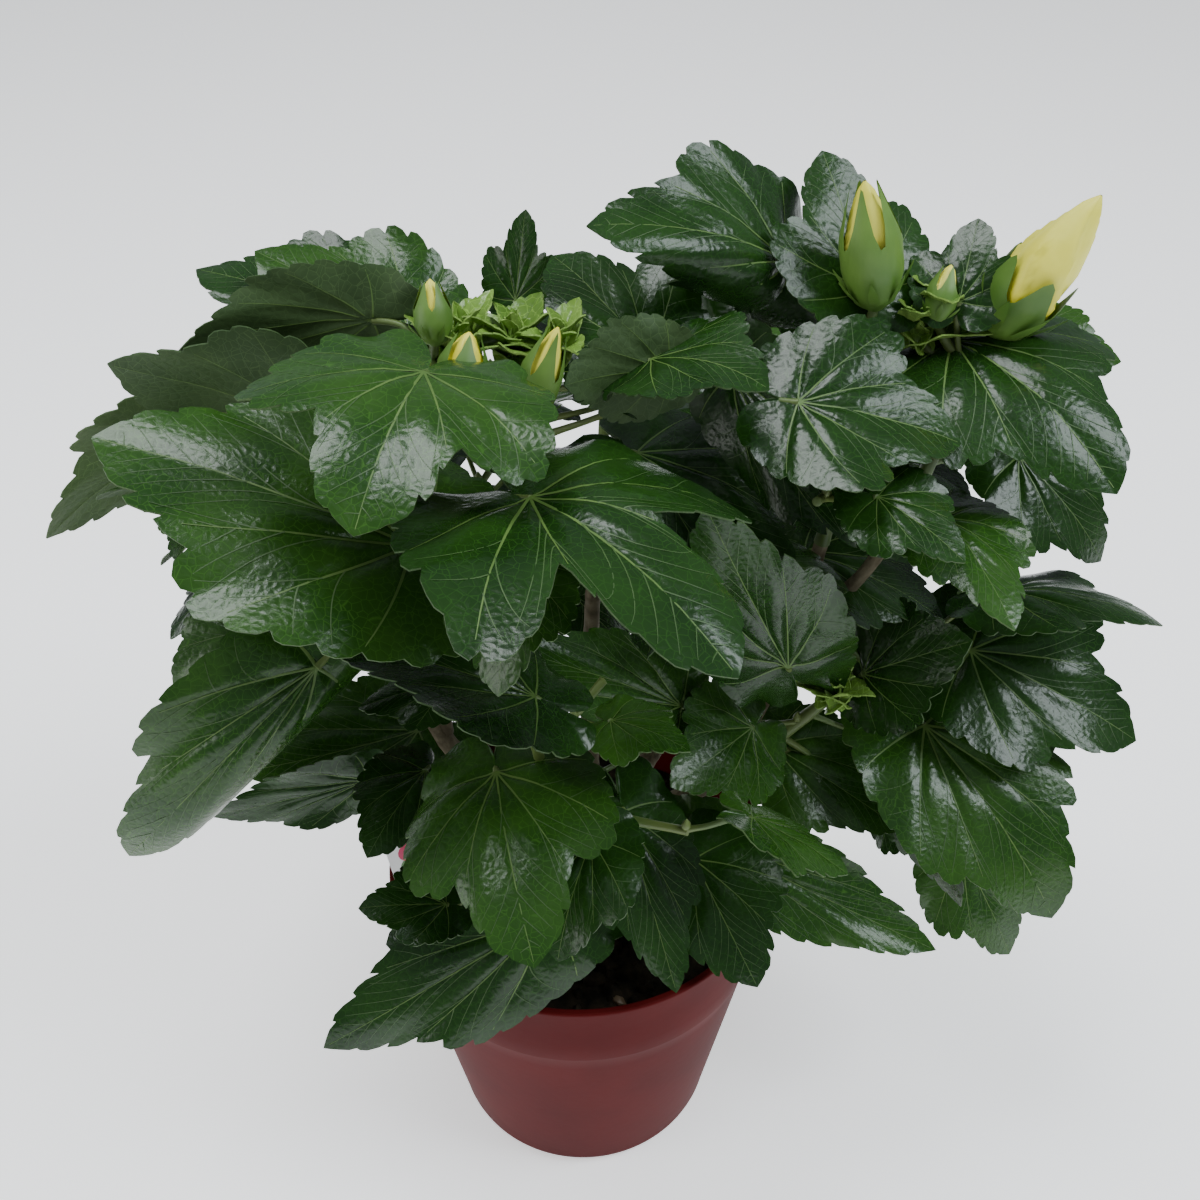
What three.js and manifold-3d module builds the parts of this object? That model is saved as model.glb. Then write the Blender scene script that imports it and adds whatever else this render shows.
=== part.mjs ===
// A young hibiscus shrub in its nursery pot, as separate solids: the pot, its soil and plant label,
// a short trunk, the boughs, and masses of foliage. Millimetres, +Z up, +Y to the plant's back.
// The origin is the centre of the pot's flat underside.

import * as THREE from "three";
import { mergeVertices } from "three/addons/utils/BufferGeometryUtils.js";
import Module from "manifold-3d";

const wasm = await Module();
wasm.setup();
const { Manifold } = wasm;
const radians = THREE.MathUtils.degToRad;

const GAP = 0.3; // between solids that meet
const SLIVER = 0.05; // edges shorter than this close up where one solid was cut by another

// ---- pot, soil and label ----
// Radii at the rim, the foot of the band under it and the pot's foot, which is rounded. step: how far the
// band stands out.
const POT = {
  height: 118.5, rim: 65, band: 62.8, bandLow: 90.6, step: 1.2, base: 48, baseRound: 7, wall: 1.8, floor: 2.2,
};
const RIM_ROLL = { outside: 1.6, inside: 3.2, bead: 0.8 };
const POT_SIDES = 32;
const NOTCH = { count: 4, deep: 7, wide: 18, high: 3, turn: 40 }; // recesses round the pot's foot
const DRAIN = { count: 4, radius: 4, ring: 30 };
const SOIL = { top: 105, heap: 2.5, slope: 8, crest: 0.6 }; // slope: how far in from its edge it heaps up
const LABEL = {
  wide: 22, body: 42, shoulder: 9, spike: 26, spikeWide: 6, corner: 3, thick: 1.1, point: 10,
};
const LABEL_FOOT = new THREE.Vector3(-40, -30, SOIL.top - 12);
const LABEL_RISE = new THREE.Vector3(-10, -2, 85); // the way the label points
const LABEL_FACE = -68; // degrees round from +X that its printed side looks to

// ---- limbs: each is drawn through a few points, from its thick end to its thin one ----
const TRUNK = {
  path: [[5, 3, SOIL.top - 6], [4, 2, 112], [2, 2, 128]], thick: 7, thin: 5.4, sides: 10, steps: 8,
  flare: { spread: 0.8, height: 5 },
};
const BOUGHS = [
  { name: "bough_right", path: [[3, 0, 121], [24, -2, 137], [46, 2, 152], [60, 4, 160]], thick: 4.2, thin: 2.8 },
  { name: "bough_right_high", path: [[46, 2, 153], [62, 12, 182], [74, 18, 232]], thick: 3, thin: 2.2 },
  { name: "bough_right_outer", path: [[67, 14, 203], [86, 14, 222], [98, 14, 250]], thick: 2.2, thin: 1.8 },
  { name: "bough_left", path: [[1, 3, 119], [-20, 4, 142], [-40, 2, 165], [-56, 8, 205]], thick: 4.2, thin: 2.4 },
  { name: "bough_left_high", path: [[-42, 3, 172], [-46, 12, 222], [-42, 18, 262]], thick: 2.6, thin: 2 },
  { name: "bough_middle", path: [[2, 3, 127], [-5, 3, 170], [-10, 2, 222], [-8, 8, 256]], thick: 3.8, thin: 2.2 },
  { name: "bough_front", path: [[2, -1, 122], [1, -18, 146], [-8, -28, 172]], thick: 3.2, thin: 2.2 },
  { name: "bough_back_left", path: [[0, 6, 122], [-14, 22, 146], [-28, 36, 176]], thick: 3.8, thin: 2.4 },
  { name: "bough_back", path: [[3, 6, 125], [4, 22, 165], [6, 34, 214]], thick: 3.6, thin: 2.2 },
  { name: "bough_back_right", path: [[6, 6, 121], [26, 22, 144], [44, 36, 172]], thick: 3.8, thin: 2.4 },
];
const LIMB = { sides: 6, steps: 5 };
const STEM = { sides: 5, steps: 3, thick: 2.2, thin: 1.4 };
const TWIG = { sides: 3, steps: 2, thick: 1.5, thin: 1.2 };
// A stalk comes up to a blade from a neck, a share of the blade's length behind its head and so far below
// it. It leaves the stem lower down the further out the blade is: ease is that fall for each mm out.
const STALK = { thick: 1.3, thin: 1.1, neck: 0.15, drop: 1.95, ease: 0.4 };
const BUD_TWIG = { drop: 12, lift: 1 };

// ---- leaves ----
// Half the outline of a blade: its reach from the head of its petiole, as a share of its length,
// at degrees round from the tip to the cleft at its foot.
const OUTLINE = [[0, 1], [14, 0.86], [30, 0.76], [50, 0.7], [72, 0.6], [95, 0.5], [120, 0.44], [145, 0.4],
  [165, 0.3], [180, 0.1]];
const OUTLINE_WIDTH = 1.12; // across a blade of length 1
const RAYS = [0, 26, 54, 95, 140, 180];
const LOBE = { notch: 27, notchSpan: 10, notchDepth: 0.42, side: 52, sideSpan: 12, sideReach: 0.16 };
const BLADE = { thickShare: 1 / 85, leastThick: 0.8, inner: 0.58 };
// A young leaf is a kite from its foot: degrees and share of the reach for the middle and the margin.
const YOUNG = { wide: 0.75, middle: [0, 0.5], margin: [[0, 1], [42, 0.9], [0, 0], [-42, 0.9]] };
const GOLDEN_TURN = 137.5; // degrees round the stem from one leaf to the next
// A tuft's leaves stand round the end of its twig, the last ones steeper and shorter.
const TUFT = { along: 0.3, turn: 50, rise: [25, 70], shrink: 0.4, shape: [15, 30, 15, 15, 0, 0.5] };
// A furled bud, turned about its axis: shares of its width and length.
const BUD = { sides: 7, profile: [[0, 0], [0.34, 0.06], [0.5, 0.32], [0.42, 0.62], [0.2, 0.9], [0, 1]] };

// The room that the crown has, above the pot, and the room that one leaf leaves another.
const CROWN = { centre: new THREE.Vector3(2, 6, 215), radii: new THREE.Vector3(172, 134, 130) };
const OVER_POT = { radius: 74, height: 128 };
const LEAF_ROOM = 5;
const CROSSING = 4;
const FEELER_SHARES = [0.2, 0.4, 0.6, 0.8, 1];
// A leaf that would cross another makes way, along a line from a point before the plant.
const BEFORE = new THREE.Vector3(0, -285, 443);
const MAKE_WAY = [0, 6, -6, 12, -12, 18];

// Each mass of foliage grows on one stem, from the tip of its bough or from the trunk.
// leaves: head of petiole x, y, z; degrees that the tip points round from +X, rises, and rolls;
//   length, width share; degrees that the halves fold up, the midrib droops, and the left and
//   right edges curl; lobing; margin wave.
// buds: foot x, y, z; degrees round and rise; length, width.
// tufts of young leaves: x, y, z, number, length.
// twigs: number of side twigs, which grow by the seeded rule.
const MASSES = [
  {
    name: "foliage_top_left", stem: [[-42, 18, 262], [-40, 16, 280], [-37, 14, 298]], twigs: 4,
    leaves: [
      [-62, 56, 288, 170, 24, -24, 52, 0.95, 0, 25, 0, 0, 0.3, 2],
      [-47, 45, 290, 166, 32, -22, 48, 1.1, 0, 30, -20, 20, 0.3, 3],
      [-52, 22, 304, 171, 0, 80, 52, 0.6, 0, 45, 30, 0, 0.1, 1],
      [-34, -25, 312, -102, 8, -8, 50, 1.3, 8, 55, -20, -20, 0.6, 3],
    ],
    buds: [[-34, 2, 306, 95, 70, 16, 9], [-28, -13, 298, 60, 65, 17, 12]],
    tufts: [[-27, 12, 300, 4, 26]],
  },
  {
    name: "foliage_left", stem: [[-56, 8, 205], [-66, 8, 228], [-74, 8, 250]], twigs: 4,
    leaves: [
      [-75, 20, 277, -170, 30, 65, 50, 1, 0, 20, 10, -10, 0.1, 1],
      [-98, 14, 276, -172, -14, 58, 56, 0.9, 0, 40, 10, -10, 0.3, 2],
      [-41, -30, 267, 174, 28, -15, 80, 0.95, 8, 20, -20, -30, 0.2, 2],
      [-72, -22, 221, -138, -24, -44, 92, 0.5, 0, 62, -140, 0, 0.2, 2],
      [-92, -10, 225, -152, -14, -30, 30, 0.9, 0, 40, 0, 0, 0.2, 1],
    ],
    buds: [], tufts: [],
  },
  {
    name: "foliage_left_low", stem: [[-2, 0, 117], [-24, -6, 134], [-44, -10, 152]], twigs: 1,
    leaves: [
      [-46, -20, 178, -112, 12, -10, 34, 0.9, 0, 40, 0, 0, 0.1, 1],
      [-50, 0, 176, -155, 2, -60, 58, 0.7, 0, 30, 0, 0, 0.2, 2],
      [-67, -8, 162, -168, -8, -80, 50, 0.45, 0, 10, 0, 0, 0.1, 1],
    ],
    buds: [], tufts: [],
  },
  {
    name: "foliage_middle", stem: [[-8, 8, 256], [-8, 12, 276], [-10, 16, 294]], twigs: 4,
    leaves: [
      [-16, 60, 292, 66, 72, 8, 26, 0.8, 0, 10, 0, 0, 0.5, 1],
      [20, 12, 296, 128, 38, 0, 44, 1.05, 0, 30, -20, 20, 0.2, 2],
      [21, 10, 297, -40, 26, 10, 35, 1.1, 0, 40, 0, 0, 0.2, 2],
      [24, 0, 299, -172, 4, 92, 29, 0.95, 0, 30, 30, 0, 0.1, 1],
      [18, 18, 264, -40, -8, 8, 58, 0.95, 0, 40, 0, 0, 0.2, 2],
      [-10, -45, 290, -50, 12, 5, 67, 1.15, 8, 55, -40, 0, 1, 3],
    ],
    buds: [[-12, -14, 292, 20, 68, 26, 10]],
    tufts: [[-16, 16, 298, 4, 26], [-2, 8, 302, 3, 22]],
  },
  {
    name: "foliage_front", stem: [[-8, -28, 172], [-10, -34, 190], [-12, -38, 206]], twigs: 4,
    leaves: [
      [-23, -40, 197, -84, 6, 12, 58, 1, 0, 55, -20, -30, 0.4, 3],
      [-11, -45, 229, -179, 32, -5, 54, 0.8, 5, 20, 0, -30, 0.2, 2],
      [30, -20, 202, -156, 41, -48, 68, 0.45, 0, 20, 0, 0, 0.1, 2],
      [13, -32, 171, -74, -26, 12, 54, 0.62, 0, 40, 0, 0, 0.2, 2],
      [-10, -55, 152, -158, -20, -44, 78, 0.58, 0, 20, -20, -10, 0.2, 2],
      [-39, -54, 158, -166, 20, -20, 25, 0.9, 0, 20, 0, 0, 0.2, 1],
    ],
    buds: [], tufts: [],
  },
  {
    name: "foliage_front_low", stem: [[5, -2, 117], [20, -12, 124], [34, -16, 130]], twigs: 4,
    leaves: [
      [46, -17, 137, -30, -8, 44, 74, 0.42, 0, 20, 0, 0, 0.1, 1],
      [35, -30, 147, -70, -10, 20, 43, 1, 0, 35, 0, 0, 0.2, 2],
    ],
    buds: [], tufts: [],
  },
  {
    name: "foliage_right_high", stem: [[74, 18, 232], [78, 18, 262], [76, 20, 290]], twigs: 4,
    leaves: [
      [58, 28, 316, -147, 34, -45, 61, 0.86, 0, 45, -150, 0, 0.3, 3],
      [64, 32, 299, 90, 40, 10, 26, 0.85, 0, 10, 0, 0, 0.2, 1],
      [82, 36, 304, 112, 52, 0, 40, 1.1, 0, 20, 0, 0, 0.4, 2],
      [43, 15, 290, -60, -20, 62, 75, 0.48, 0, 30, 0, 0, 0.1, 1],
      [60, 6, 286, -18, 2, 30, 44, 1.1, 5, 30, 0, 0, 0.3, 3],
    ],
    buds: [[81, 20, 306, 170, 78, 34, 15]],
    tufts: [],
  },
  {
    name: "foliage_right_top", stem: [[98, 14, 250], [104, 16, 272], [108, 20, 290]], twigs: 4,
    leaves: [
      [103, 20, 296, -60, 8, 16, 62, 1, 5, 68, -30, -15, 0.3, 3],
      [130, 40, 287, -28, 8, 30, 28, 0.95, 0, 40, 0, 0, 0.2, 1],
      [107, 32, 302, 68, 52, 0, 24, 1.15, 0, 20, 0, 0, 0.5, 2],
      [100, -8, 258, -79, 6, 8, 42, 0.75, 5, 35, -20, -20, 0.3, 2],
      [131, 26, 256, -40, -26, 30, 44, 0.85, 0, 40, 0, 0, 0.3, 2],
    ],
    buds: [[98, 22, 300, 60, 60, 16, 9], [115, 24, 296, -15, 64, 44, 19]],
    tufts: [[99, 33, 300, 4, 28], [91, 27, 298, 3, 22]],
  },
  {
    name: "foliage_right", stem: [[60, 4, 160], [80, 8, 178], [100, 6, 200]], twigs: 4,
    leaves: [
      [62, -10, 207, -131, 57, -136, 80, 0.55, 0, 20, 0, 0, 0.1, 1],
      [89, 5, 191, -44, 46, 60, 40, 1, 0, 20, 0, 0, 0.1, 2],
      [128, 10, 219, -27, 24, -6, 47, 0.8, -5, 40, -20, -20, 0.4, 2],
      [119, 0, 204, -31, -8, 34, 60, 0.9, 0, 30, 0, 0, 0.3, 2],
      [108, -5, 178, -58, -15, 20, 76, 0.75, 5, 50, -20, -10, 0.2, 3],
      [105, 0, 156, -74, -40, 56, 50, 0.55, 0, 30, 0, 0, 0.1, 1],
      [108, 15, 128, -36, -40, 20, 32, 0.95, 0, 30, 0, 0, 0.2, 1],
      [130, -5, 119, -52, -44, 28, 44, 0.9, 0, 30, 0, 0, 0.3, 2],
      [62, 0, 166, -39, -6, 30, 50, 0.75, 0, 30, 0, 0, 0.2, 1],
      [70, 22, 226, -22, -4, 10, 50, 0.9, 0, 30, 0, 0, 0.2, 2],
      [55, 0, 174, -128, 12, -40, 38, 1, 0, 20, 0, 0, 0.2, 2],
    ],
    buds: [],
    tufts: [[80, -2, 188, 4, 20]],
  },
  {
    name: "foliage_back_left", stem: [[-28, 36, 176], [-46, 44, 214], [-54, 46, 262]], twigs: 14,
    leaves: [], buds: [], tufts: [],
  },
  {
    name: "foliage_back", stem: [[6, 34, 214], [9, 46, 246], [12, 60, 278]], twigs: 13,
    leaves: [], buds: [], tufts: [],
  },
  {
    name: "foliage_back_right", stem: [[44, 36, 172], [68, 44, 210], [80, 46, 254]], twigs: 14,
    leaves: [], buds: [], tufts: [],
  },
];
// Twigs start a share of the way up their stem. A pair of sizes is for the twigs at the stem's foot and at
// its tip. vary: how far each leaf's own sizes range. leaves: how far along the twig, degrees aside, size.
const TWIGS = {
  from: 0.1, turn: 67, long: [46, 24], climb: [-0.1, 0.9], sag: 0.06,
  leaf: [66, 44], stalk: [20, 13], stalkClimb: 0.5, rise: [-16, 22], droop: [30, 50],
  wide: 0.95, fold: 4, curl: -15, lobing: 0.25, wave: 2.5,
  vary: { aside: 30, rise: 16, long: 0.2, roll: 50 },
  sizes: [1, 0.85, 0.7, 0.55], // tried in turn for a leaf that finds no room
  among: 0.55, // size of a twig's leaves where the stem has measured leaves of its own
  leaves: [
    { at: 0.5, aside: -75, size: 1 },
    { at: 0.8, aside: 65, size: 0.9 },
    { at: 0.96, aside: 0, size: 0.85 },
  ],
};

// ---- colours ----
const material = (color, roughness) => new THREE.MeshStandardMaterial({ color, roughness, metalness: 0 });
const CLAY_RED = material(0x7f3f3b, 0.5);
const PEAT = material(0x14100d, 0.95);
const PRINTED_PLASTIC = material(0xd9688c, 0.35);
const BARK = material(0x6b5a3c, 0.8);
const LEAF_GREEN = material(0x2f5222, 0.45);

const point = ([x, y, z]) => new THREE.Vector3(x, y, z);

// ---- helpers ----
function seededRandom(seed) {
  let state = seed;
  return () => {
    state = (state * 16807) % 2147483647;
    return state / 2147483647;
  };
}

function toSolid(geometry) {
  const bare = geometry.clone();
  bare.deleteAttribute("normal");
  bare.deleteAttribute("uv");
  const merged = mergeVertices(bare, 1e-4);
  const vertProperties = new Float32Array(merged.attributes.position.array);
  const triVerts = new Uint32Array(merged.index.array);
  return new Manifold(new wasm.Mesh({ numProp: 3, vertProperties, triVerts }));
}

// Cutting leaves some corners almost on top of each other. This closes up the edges between them, and
// drops each pair of faces that then lie back to back.
function closeSlivers(solid) {
  const { vertProperties, triVerts } = solid.getMesh();
  const place = (corner) => new THREE.Vector3().fromArray(vertProperties, corner * 3);
  const joined = new Map();
  const keeper = (corner) => (joined.has(corner) ? keeper(joined.get(corner)) : corner);
  const faces = [];
  for (let first = 0; first < triVerts.length; first += 3) {
    faces.push([...triVerts.slice(first, first + 3)]);
  }
  faces.forEach(([a, b, c]) => [[a, b], [b, c], [c, a]].forEach(([from, to]) => {
    const [one, other] = [keeper(from), keeper(to)];
    if (one !== other && place(from).distanceTo(place(to)) < SLIVER) {
      joined.set(one, other);
    }
  }));
  const kept = new Map();
  faces.map((face) => face.map(keeper)).forEach((face) => {
    const key = [...face].sort((a, b) => a - b).join();
    if (kept.has(key)) {
      kept.delete(key);
    } else if (new Set(face).size === 3) {
      kept.set(key, face);
    }
  });
  const left = new Uint32Array([...kept.values()].flat());
  return new Manifold(new wasm.Mesh({ numProp: 3, vertProperties, triVerts: left }));
}

function toMesh(name, solid, finish) {
  const { vertProperties, triVerts } = solid.getMesh();
  const geometry = new THREE.BufferGeometry();
  geometry.setAttribute("position", new THREE.BufferAttribute(vertProperties, 3));
  geometry.setIndex(new THREE.BufferAttribute(triVerts, 1));
  geometry.computeVertexNormals();
  const mesh = new THREE.Mesh(geometry, finish);
  mesh.name = name;
  return mesh;
}

function geometryFrom(corners, faces) {
  const geometry = new THREE.BufferGeometry();
  const numbers = corners.flatMap((corner) => corner.toArray());
  geometry.setAttribute("position", new THREE.Float32BufferAttribute(numbers, 3));
  geometry.setIndex(faces);
  return geometry;
}

// A turned solid about +Z, from a closed profile of [radius, height] pairs.
function turned(profile, sides) {
  const outline = profile.map(([radius, height]) => new THREE.Vector2(radius, height));
  return toSolid(new THREE.LatheGeometry(outline, sides).rotateX(Math.PI / 2));
}

// The point at a share of the way along a smooth path through a few points.
function onPath(path, share) {
  const spans = path.length - 1;
  const at = share * spans;
  const span = Math.min(Math.floor(at), spans - 1);
  const t = at - span;
  const [from, to] = [path[span], path[span + 1]];
  const before = path[span - 1] ?? from.clone().multiplyScalar(2).sub(to);
  const after = path[span + 2] ?? to.clone().multiplyScalar(2).sub(from);
  return new THREE.Vector3()
    .addScaledVector(before, (-t + 2 * t * t - t * t * t) / 2)
    .addScaledVector(from, (2 - 5 * t * t + 3 * t * t * t) / 2)
    .addScaledVector(to, (t + 4 * t * t - 3 * t * t * t) / 2)
    .addScaledVector(after, (-t * t + t * t * t) / 2);
}

function samplesOf(path, count) {
  return Array.from({ length: count + 1 }, (_, index) => onPath(path, index / count));
}

// A tapering limb along a path, with flat ends. grow thickens it all round.
function limb(path, { thick, thin, sides, steps, grow = 0, flare = null }) {
  const centres = samplesOf(path, steps);
  const chord = path[path.length - 1].clone().sub(path[0]);
  const aside = Math.abs(chord.x) + Math.abs(chord.y) > Math.abs(chord.z) * 4
    ? new THREE.Vector3(0, 0, 1) : new THREE.Vector3(0.3, -1, 0.1);
  const corners = [];
  centres.forEach((centre, step) => {
    const [behind, before] = [centres[Math.max(step - 1, 0)], centres[Math.min(step + 1, steps)]];
    const ahead = before.clone().sub(behind).normalize();
    const across = new THREE.Vector3().crossVectors(ahead, aside).normalize();
    const upward = new THREE.Vector3().crossVectors(across, ahead);
    const swell = flare ? 1 + flare.spread * Math.exp(-centre.distanceTo(centres[0]) / flare.height) : 1;
    const radius = (thick + ((thin - thick) * step) / steps) * swell + grow;
    const overrun = step === 0 ? -grow : step === steps ? grow : 0;
    const middle = centre.clone().addScaledVector(ahead, overrun);
    for (let side = 0; side < sides; side += 1) {
      const angle = (side / sides) * 2 * Math.PI;
      corners.push(middle.clone()
        .addScaledVector(across, radius * Math.cos(angle))
        .addScaledVector(upward, -radius * Math.sin(angle)));
    }
  });
  const faces = [];
  const corner = (step, side) => step * sides + (side % sides);
  for (let side = 0; side < sides; side += 1) {
    for (let step = 0; step < steps; step += 1) {
      faces.push(corner(step, side), corner(step, side + 1), corner(step + 1, side));
      faces.push(corner(step + 1, side), corner(step, side + 1), corner(step + 1, side + 1));
    }
    if (side > 1) {
      faces.push(corner(0, 0), corner(0, side), corner(0, side - 1));
      faces.push(corner(steps, 0), corner(steps, side - 1), corner(steps, side));
    }
  }
  return toSolid(geometryFrom(corners, faces));
}

// ---- leaf blades ----
function reach(degrees, lobing) {
  const away = Math.abs(degrees);
  const next = Math.max(1, OUTLINE.findIndex(([angle]) => away <= angle));
  const [angleA, reachA] = OUTLINE[next - 1];
  const [angleB, reachB] = OUTLINE[next];
  const plain = reachA + ((reachB - reachA) * (away - angleA)) / (angleB - angleA);
  const notch = LOBE.notchDepth * Math.exp(-(((away - LOBE.notch) / LOBE.notchSpan) ** 2));
  const side = LOBE.sideReach * Math.exp(-(((away - LOBE.side) / LOBE.sideSpan) ** 2));
  return plain * (1 + lobing * (side - notch));
}

// How far a length gets, forward and up, that starts at an angle and turns by bend for each mm.
function arc(length, start, bend) {
  if (Math.abs(bend) < 1e-6) {
    return [length * Math.cos(start), length * Math.sin(start)];
  }
  const end = start + bend * length;
  return [(Math.sin(end) - Math.sin(start)) / bend, (Math.cos(start) - Math.cos(end)) / bend];
}

function makeLeaf([x, y, z, turn, rise, roll, ...shape], seed) {
  const [long, wide, fold, droop, curlLeft, curlRight, lobing, wave] = shape;
  const head = new THREE.Vector3(x, y, z);
  const facing = new THREE.Matrix4().makeRotationZ(radians(turn))
    .multiply(new THREE.Matrix4().makeRotationY(-radians(rise)))
    .multiply(new THREE.Matrix4().makeRotationX(radians(roll)));
  return { head, facing, long, wide, fold, droop, curlLeft, curlRight, lobing, wave, seed };
}

// The point of a blade at degrees round from its tip, at a share of the way out to its margin.
function bladePoint(leaf, degrees, share) {
  const angle = radians(degrees);
  const out = share * reach(degrees, leaf.lobing) * leaf.long;
  const along = out * Math.cos(angle);
  const across = (out * Math.sin(angle) * leaf.wide) / OUTLINE_WIDTH;
  const bend = -radians(leaf.droop) / leaf.long;
  const forward = Math.max(along, 0);
  const [ahead, sunk] = arc(forward, 0, bend);
  const curl = radians(across >= 0 ? leaf.curlLeft : leaf.curlRight) / (leaf.long * leaf.wide * 0.5);
  const [side, lift] = arc(Math.abs(across), radians(leaf.fold), curl);
  const rise = lift + leaf.wave * share * (out / leaf.long) * Math.sin(3 * angle + leaf.seed);
  const slope = bend * forward;
  return new THREE.Vector3(
    ahead + Math.min(along, 0) - Math.sin(slope) * rise,
    Math.sign(across) * side,
    sunk + Math.cos(slope) * rise,
  ).applyMatrix4(leaf.facing).add(leaf.head);
}

function raysAllRound(half) {
  return [...half, ...half.slice(1, -1).reverse().map((degrees) => -degrees)];
}

function moved(place, away, by) {
  return place.clone().addScaledVector(place.clone().sub(away).normalize(), by);
}

// The middle surface of a blade: its corners, and its faces round the head and out to the margin.
// Every other ray has an inner corner.
function bladeSheet(leaf) {
  const rays = raysAllRound(RAYS);
  const inner = rays.filter((_, index) => index % 2 === 0);
  const places = [
    bladePoint(leaf, 0, 0),
    ...inner.map((ray) => bladePoint(leaf, ray, BLADE.inner)),
    ...rays.map((ray) => bladePoint(leaf, ray, 1)),
  ];
  const count = inner.length;
  const innerAt = (index) => 1 + (index % count);
  const marginAt = (index) => 1 + count + (index % rays.length);
  const heart = [];
  const outer = [];
  for (let index = 0; index < count; index += 1) {
    heart.push([0, innerAt(index), innerAt(index + 1)]);
    outer.push([innerAt(index), marginAt(2 * index), marginAt(2 * index + 1)]);
    outer.push([innerAt(index), marginAt(2 * index + 1), innerAt(index + 1)]);
    outer.push([innerAt(index + 1), marginAt(2 * index + 1), marginAt(2 * index + 2)]);
  }
  return { places, heart, outer, innerAt, marginAt, rays: rays.length };
}

// A leaf as a closed solid: a thin blade and the stalk that leaves it from underneath, down to its
// foot in the stem. grow thickens it all round.
function leafSolid(leaf, grow) {
  const { places, heart, outer, innerAt, marginAt, rays } = bladeSheet(leaf);
  const sheet = geometryFrom(places, [...heart, ...outer].flat());
  sheet.computeVertexNormals();
  const { normal } = sheet.attributes;
  const normals = places.map((_, index) => new THREE.Vector3().fromBufferAttribute(normal, index));
  const half = Math.max(BLADE.leastThick, leaf.long * BLADE.thickShare) / 2 + grow;
  const wider = places.map((place, index) => (index < marginAt(0) ? place : moved(place, places[0], grow)));
  const top = wider.map((place, index) => place.clone().addScaledVector(normals[index], half));
  const under = wider.map((place, index) => place.clone().addScaledVector(normals[index], -half));
  const axes = [[1, 0, 0], [0, 1, 0], [0, 0, 1]];
  const [ahead, left, up] = axes.map((axis) => point(axis).applyMatrix4(leaf.facing));
  const neck = under[0].clone()
    .addScaledVector(ahead, -leaf.long * STALK.neck)
    .addScaledVector(up, -STALK.drop);
  const end = leaf.foot.clone().addScaledVector(leaf.foot.clone().sub(neck).normalize(), grow);
  const path = [under[0], neck, end];
  const rings = path.flatMap((centre, index) => {
    const along = path[Math.min(index + 1, 2)].clone().sub(path[Math.max(index - 1, 0)]).normalize();
    const front = index === 0 ? ahead : new THREE.Vector3().crossVectors(along, left).normalize();
    const side = index === 0 ? left : new THREE.Vector3().crossVectors(front, along);
    const radius = (index === 2 ? STALK.thick : STALK.thin) + grow;
    return [0, 120, 240].map((degrees) => centre.clone()
      .addScaledVector(front, radius * Math.cos(radians(degrees)))
      .addScaledVector(side, radius * Math.sin(radians(degrees))));
  });
  const below = places.length;
  const ring = (index, side) => 2 * below + index * 3 + (side % 3);
  const faces = [...heart, ...outer].flat();
  outer.forEach(([a, b, c]) => faces.push(a + below, c + below, b + below));
  for (let ray = 0; ray < rays; ray += 1) {
    const [here, there] = [marginAt(ray), marginAt(ray + 1)];
    faces.push(here, here + below, there + below, here, there + below, there);
  }
  const heartAt = (index) => innerAt(index) + below;
  faces.push(
    ring(0, 0), heartAt(1), heartAt(0), ring(0, 0), ring(0, 1), heartAt(1),
    ring(0, 1), heartAt(2), heartAt(1), ring(0, 1), heartAt(3), heartAt(2),
    ring(0, 1), ring(0, 2), heartAt(3), ring(0, 2), heartAt(4), heartAt(3),
    ring(0, 2), ring(0, 0), heartAt(4), ring(0, 0), heartAt(0), heartAt(4),
  );
  for (let side = 0; side < 3; side += 1) {
    for (let index = 0; index < 2; index += 1) {
      faces.push(ring(index, side), ring(index + 1, side), ring(index, side + 1));
      faces.push(ring(index, side + 1), ring(index + 1, side), ring(index + 1, side + 1));
    }
  }
  faces.push(ring(2, 0), ring(2, 2), ring(2, 1));
  return toSolid(geometryFrom([...top, ...under, ...rings], faces));
}

// A young leaf is a kite, sunk into its twig by its foot.
function youngSolid(leaf, grow) {
  const corners = [YOUNG.middle, ...YOUNG.margin];
  const places = corners.map(([degrees, share]) => bladePoint(leaf, degrees, share));
  const up = new THREE.Vector3(0, 0, BLADE.leastThick / 2 + grow).applyMatrix4(leaf.facing);
  const wider = places.map((place) => moved(place, places[0], grow));
  const count = YOUNG.margin.length;
  const under = places.length;
  const faces = [];
  for (let index = 0; index < count; index += 1) {
    const [here, there] = [1 + index, 1 + ((index + 1) % count)];
    faces.push(0, here, there, under, there + under, here + under);
    faces.push(here, here + under, there + under, here, there + under, there);
  }
  const over = wider.map((place) => place.clone().add(up));
  return toSolid(geometryFrom([...over, ...wider.map((place) => place.clone().sub(up))], faces));
}

// Points all over a blade, to tell how near it comes to others.
function feelers(leaf) {
  const rays = raysAllRound(OUTLINE.map(([degrees]) => degrees));
  const around = (share) => rays.map((degrees) => bladePoint(leaf, degrees, share));
  return [leaf.head.clone(), ...FEELER_SHARES.flatMap(around)];
}

// Points along its stalk, clear of the stem and of the blade.
function stalkPoints(leaf) {
  return [0.3, 0.5, 0.7].map((share) => leaf.foot.clone().lerp(leaf.head, share));
}

// ---- growth ----
function nearest(places, target) {
  return places.reduce((best, next) => (next.distanceTo(target) < best.distanceTo(target) ? next : best));
}

// Each stalk leaves the stem from a place of its own, below its blade.
function seatStalks(stem, leaves) {
  const places = samplesOf(stem, leaves.length + 3).slice(1);
  leaves.forEach((leaf) => {
    const level = Math.hypot(leaf.head.x - stem[0].x, leaf.head.y - stem[0].y);
    leaf.foot = nearest(places, leaf.head.clone().setZ(leaf.head.z - level * STALK.ease));
    places.splice(places.indexOf(leaf.foot), 1);
  });
}

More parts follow.
